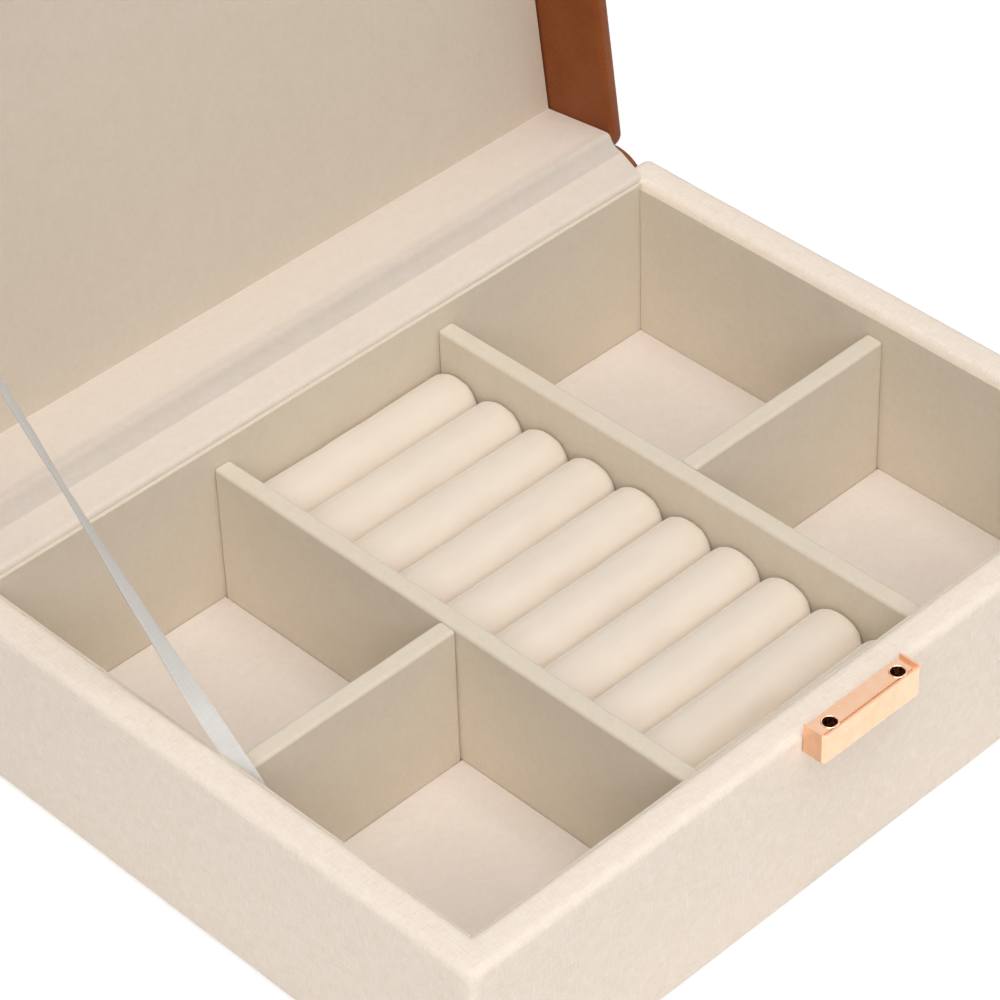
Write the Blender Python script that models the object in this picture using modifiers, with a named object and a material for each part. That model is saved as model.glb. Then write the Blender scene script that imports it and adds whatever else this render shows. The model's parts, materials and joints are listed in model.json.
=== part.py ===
"""Jewellery box: linen covered base, suede lined compartments, ring rolls and a leather lid.

Metres, +Z up. The origin is the centre of the underside. X runs along the front, Y to the back.
The lid is drawn closed and swung open about the empty on its hinge line.
"""

import math

import bmesh
import bpy
from mathutils import Matrix, Vector

for leftover in list(bpy.data.objects):
    bpy.data.objects.remove(leftover, do_unlink=True)

# Clearances
SEAT_GAP = 0.0003
CUT_OVERRUN = 0.0020
WELD_DISTANCE = 0.000001
ROUNDING_SHARE = 0.0001

# Base, inside
INNER_WIDTH = 0.2170
INNER_DEPTH = 0.1600
LINING_HEIGHT = 0.0462
RIM_ABOVE_LINING = 0.0020

# Base, layers
UNDERSIDE_THICKNESS = 0.0005
UNDERSIDE_MARGIN = 0.0030
BOTTOM_THICKNESS = 0.0022
PAD_THICKNESS = 0.0010
LINING_THICKNESS = 0.0018
LINEN_THICKNESS = 0.0006
LINEN_TURN_IN = 0.0120
WALL_BOARD_THICKNESS = 0.0062
BACK_BOARD_THICKNESS = 0.0028
RIM_OUTER_RADIUS = 0.0030
RIM_INNER_RADIUS = 0.0014
CARD_EDGE_RADIUS = 0.0003

# Dividers
DIVIDER_HEIGHT = 0.0411
DIVIDER_THICKNESS = 0.0049
DIVIDER_EDGE_RADIUS = 0.0009
CENTRE_COLUMN_WIDTH = 0.0703
CROSS_DIVIDER_BACK = 0.0005

# Ring rolls
ROLL_COUNT = 10
FRONT_ROLL_SHARE = 0.9
ROLL_HEIGHT = 0.0322
ROLL_END_GAP = 0.0005
ROLL_END_RADIUS = 0.0040
ROLL_ROUND_SHARE = 0.49
ROLL_FOOT_SHARE = 0.98
ROLL_TOP_SEGMENTS = 5
ROLL_END_SEGMENTS = 3

# Lid
LID_SEAM = 0.0011
LID_INNER_HEIGHT = 0.0233
LEATHER_THICKNESS = 0.0007
LID_WALL_BOARD_THICKNESS = 0.0023
LID_TOP_BOARD_THICKNESS = 0.0022
LID_PANEL_THICKNESS = 0.0020
LID_PANEL_EDGE_RADIUS = 0.0008
LID_OUTER_RADIUS = 0.0030
LID_RIM_RADIUS = 0.0012

# Hinge: the line that the lid turns about, and how far it stands open
HINGE_BEHIND_BACK = 0.0039
HINGE_BELOW_RIM = 0.0031
OPEN_ANGLE = math.radians(97.1)

# Leather hinge strip, outside
STRIP_THICKNESS = 0.0010
STRIP_SIDE_MARGIN = 0.0020
STRIP_BELOW_RIM = 0.0058
STRIP_BASE_DEPTH = 0.0160
STRIP_ABOVE_LID_RIM = 0.0016
STRIP_LID_DEPTH = 0.0150
STRIP_BASE_PULL = 0.0042
STRIP_LID_PULL = 0.0045
STRIP_STEPS = 8

# Suede hinge cover, inside
COVER_THICKNESS = 0.0005
COVER_SIDE_GAP = 0.0006
COVER_BASE_END_TAPER = 0.0048
COVER_CREASE_BEHIND_BACK = 0.0052
COVER_OVER_LID_RIM = 0.0006
COVER_ROUND_STEPS = 4

# Stay ribbon
RIBBON_WIDTH = 0.0050
RIBBON_THICKNESS = 0.0004
RIBBON_BASE_FROM_HINGE = 0.1038
RIBBON_LID_FROM_HINGE = 0.1100
RIBBON_LID_ABOVE_RIM = 0.0080
RIBBON_FACE_GAP = 0.0005
RIBBON_STEPS = 18
RIBBON_TWIST = math.radians(32)

# Clasp
CLASP_LENGTH = 0.0318
CLASP_DEPTH = 0.0063
CLASP_HEIGHT = 0.0091
CLASP_ABOVE_RIM = 0.0032
CLASP_EDGE_RADIUS = 0.0004
CLASP_RECESS_DEPTH = 0.0009
CLASP_LIP = 0.0004
CLASP_BAR_GAP = 0.0004
SOCKET_FROM_END = 0.0046
SOCKET_FLANGE_RADIUS = 0.0025
SOCKET_RADIUS = 0.0022
SOCKET_BORE_RADIUS = 0.0018
SOCKET_LENGTH = 0.0052
SOCKET_FLOOR = 0.0008
SOCKET_CLEARANCE = 0.0002
PIN_RADIUS = 0.0013
PIN_TIP_CHAMFER = 0.0004
PIN_REACH = 0.0034
PIN_SEAT_DEPTH = 0.0030
PIN_CLEARANCE = 0.0002
SCREW_FROM_END = 0.0109
SCREW_ABOVE_CLASP_FOOT = 0.0018
SCREW_RADIUS = 0.0009
SCREW_HEAD_RADIUS = 0.0016
SCREW_HEAD_HEIGHT = 0.0007
SCREW_GRIP = 0.0025
SCREW_CLEARANCE = 0.0002
ROUND_STEPS = 24
EDGE_SEGMENTS = 3

# Heights, worked out from the layers
bottom_low = UNDERSIDE_THICKNESS + SEAT_GAP
bottom_high = bottom_low + BOTTOM_THICKNESS
stand_z = bottom_high + SEAT_GAP
floor_z = stand_z + PAD_THICKNESS
lining_top = floor_z + LINING_HEIGHT
rim_z = lining_top + RIM_ABOVE_LINING
divider_top = floor_z + DIVIDER_HEIGHT
roll_top = floor_z + ROLL_HEIGHT
skin = LINEN_THICKNESS + SEAT_GAP
leather_skin = LEATHER_THICKNESS + SEAT_GAP

# Plan, worked out from the layers
turn_in_from_inside = LINING_THICKNESS + SEAT_GAP
side_wall = turn_in_from_inside + skin + WALL_BOARD_THICKNESS + skin
back_wall = turn_in_from_inside + skin + BACK_BOARD_THICKNESS + skin
inner_x = INNER_WIDTH / 2
outer_x = inner_x + side_wall
outer_y = (INNER_DEPTH + side_wall + back_wall) / 2
inner_front = side_wall - outer_y
inner_back = outer_y - back_wall
inner_middle = (inner_front + inner_back) / 2
roll_pitch = (INNER_DEPTH - SEAT_GAP) / (ROLL_COUNT - 1 + FRONT_ROLL_SHARE)

# Lid heights, drawn closed
lid_wall = leather_skin + LID_WALL_BOARD_THICKNESS + leather_skin
lid_rim_z = rim_z + LID_SEAM
panel_z = lid_rim_z + LID_INNER_HEIGHT
top_board_z = panel_z + LID_PANEL_THICKNESS + SEAT_GAP
lid_top_z = top_board_z + LID_TOP_BOARD_THICKNESS + leather_skin
lid_inner_x = outer_x - lid_wall
lid_inner_front = lid_wall - outer_y
lid_inner_back = outer_y - lid_wall

# Finishes: colour (linear), roughness, metallic
GREYBOARD = ((0.42, 0.36, 0.29), 0.9, 0.0)
PAPER = ((0.70, 0.66, 0.60), 0.85, 0.0)
LINEN = ((0.80, 0.70, 0.58), 0.9, 0.0)
SUEDE = ((0.56, 0.47, 0.37), 0.95, 0.0)
PALE_SUEDE = ((0.69, 0.60, 0.49), 0.95, 0.0)
VELVET = ((0.84, 0.75, 0.62), 1.0, 0.0)
LEATHER = ((0.20, 0.048, 0.013), 0.45, 0.0)
SATIN = ((0.66, 0.66, 0.67), 0.4, 0.0)
GOLD = ((0.86, 0.60, 0.34), 0.25, 1.0)
STEEL = ((0.55, 0.55, 0.56), 0.35, 1.0)

part_collection = bpy.data.collections.new("jewellery_box")
cutter_collection = bpy.data.collections.new("cutters")
bpy.context.scene.collection.children.link(part_collection)
bpy.context.scene.collection.children.link(cutter_collection)

lid_axis = bpy.data.objects.new("lid_axis", None)
lid_axis.location = (0, outer_y + HINGE_BEHIND_BACK, rim_z - HINGE_BELOW_RIM)
lid_axis.rotation_euler.x = -OPEN_ANGLE
part_collection.objects.link(lid_axis)


def opened(y, z):
    """Where a point of the closed lid lies while the lid stands open."""
    turn = Matrix.Rotation(-OPEN_ANGLE, 3, "X")
    return lid_axis.location + turn @ (Vector((0, y, z)) - lid_axis.location)


def finish(obj, look):
    colour, roughness, metallic = look
    material = bpy.data.materials.new(obj.name)
    material.use_nodes = True
    shader = material.node_tree.nodes["Principled BSDF"]
    shader.inputs["Base Color"].default_value = (*colour, 1)
    shader.inputs["Roughness"].default_value = roughness
    shader.inputs["Metallic"].default_value = metallic
    obj.data.materials.append(material)


def add(name, bm, centre, look, on_lid=False, smooth=False):
    """The finished object, with its mesh drawn about its own centre."""
    mesh = bpy.data.meshes.new(name)
    bm.to_mesh(mesh)
    bm.free()
    obj = bpy.data.objects.new(name, mesh)
    obj.location = centre
    part_collection.objects.link(obj)
    if on_lid:
        obj.parent = lid_axis
        obj.location = Vector(centre) - lid_axis.location
    if smooth:
        mesh.shade_smooth()
        mesh.set_sharp_from_angle(angle=math.radians(40))
    finish(obj, look)
    return obj


def block(low, high):
    """A box mesh about its own centre, and that centre."""
    size = Vector(high) - Vector(low)
    bm = bmesh.new()
    bmesh.ops.create_cube(bm, size=1, matrix=Matrix.Diagonal((*size, 1)))
    return bm, (Vector(high) + Vector(low)) / 2


def round_edges(bm, radius, wanted, segments=EDGE_SEGMENTS):
    """Rounds the edges that wanted(middle, direction, angle between its faces) picks."""
    picked = []
    for edge in bm.edges:
        first, last = (v.co for v in edge.verts)
        fold = edge.calc_face_angle(0)
        if wanted((first + last) / 2, (last - first).normalized(), fold):
            picked.append(edge)
    bmesh.ops.bevel(bm, geom=picked, offset=radius, segments=segments, profile=0.5, affect="EDGES")


def same(first, second):
    return math.isclose(first, second, rel_tol=ROUNDING_SHARE)


def plate(name, low, high, radius, look, on_lid=False):
    """A flat board or card with lightly rounded edges."""
    bm, centre = block(low, high)
    if radius:
        round_edges(bm, radius, lambda middle, along, fold: True, 1)
    return add(name, bm, centre, look, on_lid)


def cutter(name, bm, centre, turned_to_y=False, on_lid=False):
    mesh = bpy.data.meshes.new(name)
    bm.to_mesh(mesh)
    bm.free()
    obj = bpy.data.objects.new(name, mesh)
    obj.location = centre
    if turned_to_y:
        obj.rotation_euler.x = math.pi / 2
    if on_lid:
        obj.parent = lid_axis
        obj.location = Vector(centre) - lid_axis.location
    obj.hide_render = True
    obj.display_type = "WIRE"
    cutter_collection.objects.link(obj)
    return obj


def cut(obj, tool):
    modifier = obj.modifiers.new(tool.name, "BOOLEAN")
    modifier.operation = "DIFFERENCE"
    modifier.solver = "EXACT"
    modifier.object = tool


def rod(radius, length):
    """A cylinder along Z about its own centre."""
    bm = bmesh.new()
    bmesh.ops.create_cone(
        bm, cap_ends=True, segments=ROUND_STEPS, radius1=radius, radius2=radius, depth=length
    )
    return bm


def turned(name, profile, centre, look, on_lid=False):
    """A lathe-turned piece: profile holds (radius, height) from the axis, down the outer side."""
    bm = bmesh.new()
    points = [bm.verts.new((radius, 0, height)) for radius, height in profile]
    for first, last in zip(points, points[1:]):
        bm.edges.new((first, last))
    obj = add(name, bm, centre, look, on_lid)
    screw = obj.modifiers.new("turn", "SCREW")
    screw.steps = ROUND_STEPS
    screw.render_steps = ROUND_STEPS
    screw.use_merge_vertices = True
    screw.merge_threshold = WELD_DISTANCE
    screw.use_smooth_shade = True
    return obj


def wrapped_frame(name, low, high, opening, turn_in, rim_at_top, radii, thickness, look, on_lid=False):
    """A sheet glued round a frame of walls: outside, over the rim and down the inner side.

    low and high are the outer corners, opening is (x, front, back) of the inner side, and the
    face opposite the rim is kept only where the rim faces down, as on the lid.
    """
    bm, centre = block(low, high)
    half = (Vector(high) - Vector(low)) / 2
    rim_sign = 1 if rim_at_top else -1
    rim_face = next(f for f in bm.faces if f.normal.z * rim_sign > 0.5)
    far_face = next(f for f in bm.faces if f.normal.z * rim_sign < -0.5)
    bmesh.ops.inset_region(bm, faces=[rim_face], thickness=thickness)
    opening_x, opening_front, opening_back = opening
    for vertex in rim_face.verts:
        side = opening_back if vertex.co.y > 0 else opening_front
        vertex.co.x = math.copysign(opening_x, vertex.co.x)
        vertex.co.y = side - centre.y
    inner_edges = list(rim_face.edges)
    doomed = [rim_face] + ([far_face] if rim_at_top else [])
    bmesh.ops.delete(bm, geom=doomed, context="FACES_ONLY")
    pulled = bmesh.ops.extrude_edge_only(bm, edges=inner_edges)["geom"]
    new_verts = [g for g in pulled if isinstance(g, bmesh.types.BMVert)]
    bmesh.ops.translate(bm, verts=new_verts, vec=(0, 0, -rim_sign * turn_in))
    outer_radius, rim_radius = radii
    rim_height = rim_sign * half.z

    def on_outside(middle, along, fold):
        side = same(abs(middle.x), half.x)
        end = same(abs(middle.y), half.y)
        upright = abs(along.z) > 0.5 and side and end
        level = same(middle.z, half.z) and (side or end)
        return upright or level

    def on_rim(middle, along, fold):
        return same(middle.z, rim_height) and fold > math.pi / 4

    round_edges(bm, outer_radius, on_outside)
    round_edges(bm, rim_radius, on_rim, 2)
    bmesh.ops.recalc_face_normals(bm, faces=bm.faces)
    outside = max(bm.faces, key=lambda f: f.calc_center_median().x)
    if outside.normal.x < 0:
        bmesh.ops.reverse_faces(bm, faces=bm.faces)
    obj = add(name, bm, centre, look, on_lid, True)
    shell = obj.modifiers.new("sheet", "SOLIDIFY")
    shell.thickness = thickness
    shell.offset = -1
    shell.use_even_offset = True
    return obj


def wall_board(name, low, high, corner_radius, rim_radii, look, on_lid=False):
    """A board of a frame, rounded where the sheet that is wrapped round it turns."""
    bm, centre = block(low, high)
    rim = low[2] if on_lid else high[2]
    covering = leather_skin if on_lid else skin
    edge_x = outer_x - covering - corner_radius - WELD_DISTANCE
    edge_y = outer_y - covering - corner_radius - WELD_DISTANCE
    long_x = high[0] - low[0] > high[1] - low[1]

    def outside(place):
        return abs(place.x) > edge_x or abs(place.y) > edge_y

    def at_corner(middle, along, fold):
        place = middle + centre
        return abs(along.z) > 0.5 and abs(place.x) > edge_x and abs(place.y) > edge_y

    def at_outer_rim(middle, along, fold):
        place = middle + centre
        return same(place.z, rim) and fold > math.pi / 4 and outside(place)

    def at_inner_rim(middle, along, fold):
        place = middle + centre
        lengthways = abs(along.x if long_x else along.y) > 0.9
        return same(place.z, rim) and lengthways and not outside(place)

    outer_radius, inner_radius = rim_radii
    if same(outer_radius, corner_radius):
        round_edges(bm, corner_radius, lambda *edge: at_corner(*edge) or at_outer_rim(*edge))
    else:
        round_edges(bm, corner_radius, at_corner)
        round_edges(bm, outer_radius, at_outer_rim, 1)
    round_edges(bm, inner_radius, at_inner_rim, 1)
    return add(name, bm, centre, look, on_lid)


def band(name, path, half_width, thickness, look, on_lid=False):
    """A strip of soft sheet: its cross-section path (y, z) drawn out along X."""
    centre = Vector((0, *path[0]))
    bm = bmesh.new()
    points = [bm.verts.new(Vector((-half_width, y, z)) - centre) for y, z in path]
    edges = [bm.edges.new(pair) for pair in zip(points, points[1:])]
    pulled = bmesh.ops.extrude_edge_only(bm, edges=edges)["geom"]
    new_verts = [g for g in pulled if isinstance(g, bmesh.types.BMVert)]
    bmesh.ops.translate(bm, verts=new_verts, vec=(2 * half_width, 0, 0))
    bmesh.ops.recalc_face_normals(bm, faces=bm.faces)
    obj = add(name, bm, centre, look, on_lid, True)
    sheet = obj.modifiers.new("sheet", "SOLIDIFY")
    sheet.thickness = thickness
    sheet.offset = 0
    sheet.use_even_offset = True
    return obj


def bezier(first, first_pull, last_pull, last, steps):
    """Points along one cubic curve between two (y, z) ends."""
    points = []
    for step in range(steps + 1):
        t = step / steps
        u = 1 - t
        weights = (u**3, 3 * u * u * t, 3 * u * t * t, t**3)
        ends = (first, first_pull, last_pull, last)
        points.append(tuple(sum(w * p[i] for w, p in zip(weights, ends)) for i in (0, 1)))
    return points


def build_base_shell():
    cover_x = outer_x - UNDERSIDE_MARGIN
    cover_y = outer_y - UNDERSIDE_MARGIN
    plate(
        "underside_cover",
        (-cover_x, -cover_y, 0),
        (cover_x, cover_y, UNDERSIDE_THICKNESS),
        0,
        PAPER,
    )
    board_x = outer_x - skin
    board_y = outer_y - skin
    board_radius = RIM_OUTER_RADIUS - skin
    bm, centre = block((-board_x, -board_y, bottom_low), (board_x, board_y, bottom_high))
    round_edges(bm, board_radius, lambda middle, along, fold: abs(along.z) > 0.5)
    add("bottom_board", bm, centre, GREYBOARD)
    board_top = rim_z - skin
    turn_radius = RIM_INNER_RADIUS - skin
    front_in = inner_front - turn_in_from_inside - skin
    back_in = inner_back + turn_in_from_inside + skin
    side_in = inner_x + turn_in_from_inside + skin
    fronts = {
        "front_wall_board": ((-board_x, -board_y, stand_z), (board_x, front_in, board_top)),
        "back_wall_board": ((-board_x, back_in, stand_z), (board_x, board_y, board_top)),
    }
    side_front = front_in + SEAT_GAP
    side_back = back_in - SEAT_GAP
    sides = {
        "left_wall_board": ((-board_x, side_front, stand_z), (-side_in, side_back, board_top)),
        "right_wall_board": ((side_in, side_front, stand_z), (board_x, side_back, board_top)),
    }
    boards = {}
    for name, (low, high) in {**fronts, **sides}.items():
        radii = (board_radius, turn_radius)
        boards[name] = wall_board(name, low, high, board_radius, radii, GREYBOARD)
    linen = wrapped_frame(
        "linen_wrap",
        (-outer_x, -outer_y, bottom_low),
        (outer_x, outer_y, rim_z),
        (inner_x + turn_in_from_inside, inner_front - turn_in_from_inside, inner_back + turn_in_from_inside),
        LINEN_TURN_IN,
        True,
        (RIM_OUTER_RADIUS, RIM_INNER_RADIUS),
        LINEN_THICKNESS,
        LINEN,
    )
    return boards["front_wall_board"], linen


def build_linings():
    """Suede covered cards: the front and back ones run right across, the sides stand between."""
    far_x = inner_x + LINING_THICKNESS
    far_front = inner_front - LINING_THICKNESS
    far_back = inner_back + LINING_THICKNESS
    side_front = inner_front + SEAT_GAP
    side_back = inner_back - SEAT_GAP
    places = {
        "front_lining": ((-far_x, far_front, stand_z), (far_x, inner_front, lining_top)),
        "back_lining": ((-far_x, inner_back, stand_z), (far_x, far_back, lining_top)),
        "left_lining": ((-far_x, side_front, stand_z), (-inner_x, side_back, lining_top)),
        "right_lining": ((inner_x, side_front, stand_z), (far_x, side_back, lining_top)),
    }
    for name, (low, high) in places.items():
        plate(name, low, high, CARD_EDGE_RADIUS, SUEDE)


def build_dividers_and_pads():
    column = CENTRE_COLUMN_WIDTH / 2
    far_side = column + DIVIDER_THICKNESS
    front = inner_front + SEAT_GAP
    back = inner_back - SEAT_GAP
    cross_back = inner_middle + CROSS_DIVIDER_BACK
    cross_front = cross_back - DIVIDER_THICKNESS
    cell_near = far_side + SEAT_GAP
    cell_far = inner_x - SEAT_GAP
    for side, sign in (("left", -1), ("right", 1)):
        xs = sorted((sign * column, sign * far_side))
        low = (xs[0], front, stand_z)
        high = (xs[1], back, divider_top)
        plate(side + "_long_divider", low, high, DIVIDER_EDGE_RADIUS, SUEDE)
        xs = sorted((sign * cell_near, sign * cell_far))
        low = (xs[0], cross_front, stand_z)
        high = (xs[1], cross_back, divider_top)
        plate(side + "_cross_divider", low, high, DIVIDER_EDGE_RADIUS, SUEDE)
        cells = (("back", cross_back + SEAT_GAP, back), ("front", front, cross_front - SEAT_GAP))
        for end, near, far in cells:
            low = (xs[0], near, stand_z)
            high = (xs[1], far, floor_z)
            plate("floor_pad_" + end + "_" + side, low, high, CARD_EDGE_RADIUS, PALE_SUEDE)
    inside = column - SEAT_GAP
    plate(
        "floor_pad_centre",
        (-inside, front, stand_z),
        (inside, back, floor_z),
        CARD_EDGE_RADIUS,
        PALE_SUEDE,
    )


def build_ring_rolls():
    """Foam strips with round tops and domed ends, the front one pressed a little narrower."""
    half_length = CENTRE_COLUMN_WIDTH / 2 - ROLL_END_GAP
    for number in range(ROLL_COUNT):
        width_share = FRONT_ROLL_SHARE if number == ROLL_COUNT - 1 else 1
        back = inner_back - SEAT_GAP - roll_pitch * number
        front = back - roll_pitch * width_share + SEAT_GAP
        low = (-half_length, front, floor_z + SEAT_GAP)
        high = (half_length, back, roll_top)
        bm, centre = block(low, high)
        top = high[2] - centre.z

        def along_top(middle, along, fold):
            return abs(along.x) > 0.5 and same(middle.z, top)

        def round_end(middle, along, fold):
            return same(abs(middle.x), half_length) and middle.z > -top * ROLL_FOOT_SHARE

        round_edges(bm, (back - front) * ROLL_ROUND_SHARE, along_top, ROLL_TOP_SEGMENTS)
        round_edges(bm, ROLL_END_RADIUS, round_end, ROLL_END_SEGMENTS)
        add(f"ring_roll_{number + 1:02d}", bm, centre, VELVET, False, True)


def clasp_bar(name, low, high, on_lid):
    bm, centre = block(low, high)
    round_edges(bm, CLASP_EDGE_RADIUS, lambda middle, along, fold: True, 1)
    return add(name, bm, centre, GOLD, on_lid)


def clasp_screw(name, place, grip_y, holed, on_lid=False):
    """A screw from inside the wall at place, out to grip_y, and its holes in board, sheet and bar."""
    x, board_in, height = place
    board, sheet, bar = holed
    head_y = board_in - SCREW_CLEARANCE
    tip = grip_y - head_y
    profile = [
        (0, 0),
        (SCREW_HEAD_RADIUS, 0),
        (SCREW_HEAD_RADIUS, -SCREW_HEAD_HEIGHT),
        (SCREW_RADIUS, -SCREW_HEAD_HEIGHT),
        (SCREW_RADIUS, tip),
        (0, tip),
    ]
    screw = turned(name, profile, (x, head_y, height), STEEL, on_lid)
    screw.rotation_euler.x = -math.pi / 2

    def hole(suffix, radius, start, end):
        bm = rod(radius + SCREW_CLEARANCE, start - end)
        return cutter(name + suffix, bm, (x, (start + end) / 2, height), True, on_lid)

    hole_end = grip_y - SCREW_CLEARANCE
    sink_end = head_y - SCREW_HEAD_HEIGHT - SCREW_CLEARANCE
    cut(board, hole("_sink", SCREW_HEAD_RADIUS, board_in + CUT_OVERRUN, sink_end))
    shank_hole = hole("_hole", SCREW_RADIUS, board_in - SEAT_GAP, hole_end)
    for piece in (board, sheet, bar):
        cut(piece, shank_hole)


def build_clasp_base(front_board, linen):
    back = -outer_y - SEAT_GAP
    front = back - CLASP_DEPTH
    middle_y = (back + front) / 2
    top = rim_z + CLASP_ABOVE_RIM
    foot = top - CLASP_HEIGHT
    half = CLASP_LENGTH / 2
    bar = clasp_bar("clasp_bar", (-half, front, foot), (half, back, top), False)
    recess_low = (CLASP_LIP - half, front + CLASP_LIP, top - CLASP_RECESS_DEPTH)
    recess_high = (half - CLASP_LIP, back - CLASP_LIP, top + CUT_OVERRUN)
    bm, centre = block(recess_low, recess_high)
    cut(bar, cutter("clasp_recess", bm, centre))
    flange_top = top
    flange_low = top - CLASP_RECESS_DEPTH + SOCKET_CLEARANCE
    seat = SOCKET_LENGTH + SOCKET_CLEARANCE
    for side, sign in (("left", -1), ("right", 1)):
        x = sign * (half - SOCKET_FROM_END)
        hole_top = top + CUT_OVERRUN
        hole_low = top - seat
        hole = cutter(
            "clasp_socket_hole_" + side,
            rod(SOCKET_RADIUS + SOCKET_CLEARANCE, hole_top - hole_low),
            (x, middle_y, (hole_top + hole_low) / 2),
        )
        cut(bar, hole)
        profile = [
            (0, SOCKET_FLOOR - SOCKET_LENGTH),
            (SOCKET_BORE_RADIUS, SOCKET_FLOOR - SOCKET_LENGTH),
            (SOCKET_BORE_RADIUS, 0),
            (SOCKET_FLANGE_RADIUS, 0),
            (SOCKET_FLANGE_RADIUS, flange_low - flange_top),
            (SOCKET_RADIUS, flange_low - flange_top),
            (SOCKET_RADIUS, -SOCKET_LENGTH),
            (0, -SOCKET_LENGTH),
        ]
        turned("clasp_socket_" + side, profile, (x, middle_y, flange_top), GOLD)
        board_in = inner_front - turn_in_from_inside - skin
        place = (sign * (half - SCREW_FROM_END), board_in, foot + SCREW_ABOVE_CLASP_FOOT)
        clasp_screw("clasp_screw_" + side, place, back - SCREW_GRIP, (front_board, linen, bar))


def build_clasp_lid(front_board, leather):
    back = -outer_y - SEAT_GAP
    front = back - CLASP_DEPTH
    middle_y = (back + front) / 2
    foot = rim_z + CLASP_ABOVE_RIM + CLASP_BAR_GAP
    top = foot + CLASP_HEIGHT
    half = CLASP_LENGTH / 2
    bar = clasp_bar("lid_clasp_bar", (-half, front, foot), (half, back, top), True)
    for side, sign in (("left", -1), ("right", 1)):
        x = sign * (half - SOCKET_FROM_END)
        hole_low = foot - CUT_OVERRUN
        hole_top = foot + PIN_SEAT_DEPTH + PIN_CLEARANCE
        hole = cutter(
            "lid_clasp_pin_hole_" + side,
            rod(PIN_RADIUS + PIN_CLEARANCE, hole_top - hole_low),
            (x, middle_y, (hole_top + hole_low) / 2),
            False,
            True,
        )
        cut(bar, hole)
        tip = -CLASP_BAR_GAP - PIN_REACH
        profile = [
            (0, PIN_SEAT_DEPTH),
            (PIN_RADIUS, PIN_SEAT_DEPTH),
            (PIN_RADIUS, tip + PIN_TIP_CHAMFER),
            (PIN_RADIUS - PIN_TIP_CHAMFER, tip),
            (0, tip),
        ]
        turned("lid_clasp_pin_" + side, profile, (x, middle_y, foot), GOLD, True)
        place = (sign * (half - SCREW_FROM_END), lid_inner_front - leather_skin, (foot + top) / 2)
        holed = (front_board, leather, bar)
        clasp_screw("lid_clasp_screw_" + side, place, back - SCREW_GRIP, holed, True)


def build_lid():
    board_x = outer_x - leather_skin
    board_y = outer_y - leather_skin
    board_radius = LID_OUTER_RADIUS - leather_skin
    bm, centre = block(
        (-board_x, -board_y, top_board_z),
        (board_x, board_y, top_board_z + LID_TOP_BOARD_THICKNESS),
    )
    round_edges(bm, board_radius, lambda middle, along, fold: abs(along.z) > 0.5 or middle.z > 0)
    add("lid_top_board", bm, centre, GREYBOARD, True)
    low_z = lid_rim_z + leather_skin
    high_z = top_board_z - SEAT_GAP
    front_in = lid_inner_front - leather_skin
    back_in = lid_inner_back + leather_skin
    side_in = lid_inner_x + leather_skin
    side_front = front_in + SEAT_GAP
    side_back = back_in - SEAT_GAP
    places = {
        "lid_front_board": ((-board_x, -board_y, low_z), (board_x, front_in, high_z)),
        "lid_back_board": ((-board_x, back_in, low_z), (board_x, board_y, high_z)),
        "lid_left_board": ((-board_x, side_front, low_z), (-side_in, side_back, high_z)),
        "lid_right_board": ((side_in, side_front, low_z), (board_x, side_back, high_z)),
    }
    rim_radius = LID_RIM_RADIUS - leather_skin
    radii = (rim_radius, rim_radius)
    boards = {}
    for name, (low, high) in places.items():
        boards[name] = wall_board(name, low, high, board_radius, radii, GREYBOARD, True)
    leather = wrapped_lid()
    inside_x = lid_inner_x - SEAT_GAP
    inside_front = lid_inner_front + SEAT_GAP
    inside_back = lid_inner_back - SEAT_GAP
    plate(
        "lid_lining_panel",
        (-inside_x, inside_front, panel_z),
        (inside_x, inside_back, panel_z + LID_PANEL_THICKNESS),
        LID_PANEL_EDGE_RADIUS,
        SUEDE,
        True,
    )
    return boards["lid_front_board"], leather


def wrapped_lid():
    return wrapped_frame(
        "lid_leather_cover",
        (-outer_x, -outer_y, lid_rim_z),
        (outer_x, outer_y, lid_top_z),
        (lid_inner_x, lid_inner_front, lid_inner_back),
        LID_INNER_HEIGHT + LID_PANEL_THICKNESS,
        False,
        (LID_OUTER_RADIUS, LID_RIM_RADIUS),
        LEATHER_THICKNESS,
        LEATHER,
        True,
    )


def build_hinge():
    strip_half = outer_x - STRIP_SIDE_MARGIN
    strip_y = outer_y + SEAT_GAP
    strip_middle = strip_y + STRIP_THICKNESS / 2
    base_top = rim_z - STRIP_BELOW_RIM
    plate(
        "hinge_strip_base",
        (-strip_half, strip_y, base_top - STRIP_BASE_DEPTH),
        (strip_half, strip_y + STRIP_THICKNESS, base_top),
        0,
        LEATHER,
    )
    lid_low = lid_rim_z + STRIP_ABOVE_LID_RIM
    plate(
        "hinge_strip_lid",
        (-strip_half, strip_y, lid_low),
        (strip_half, strip_y + STRIP_THICKNESS, lid_low + STRIP_LID_DEPTH),
        0,
        LEATHER,
        True,
    )
    start = (strip_middle, base_top + SEAT_GAP)
    end = opened(strip_middle, lid_low - SEAT_GAP)
    pull = opened(strip_middle, lid_low - SEAT_GAP - STRIP_LID_PULL)
    path = bezier(
        start,
        (start[0], start[1] + STRIP_BASE_PULL),
        (pull.y, pull.z),
        (end.y, end.z),
        STRIP_STEPS,
    )
    band("hinge_strip_fold", path, strip_half, STRIP_THICKNESS, LEATHER)
    build_hinge_cover()


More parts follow.
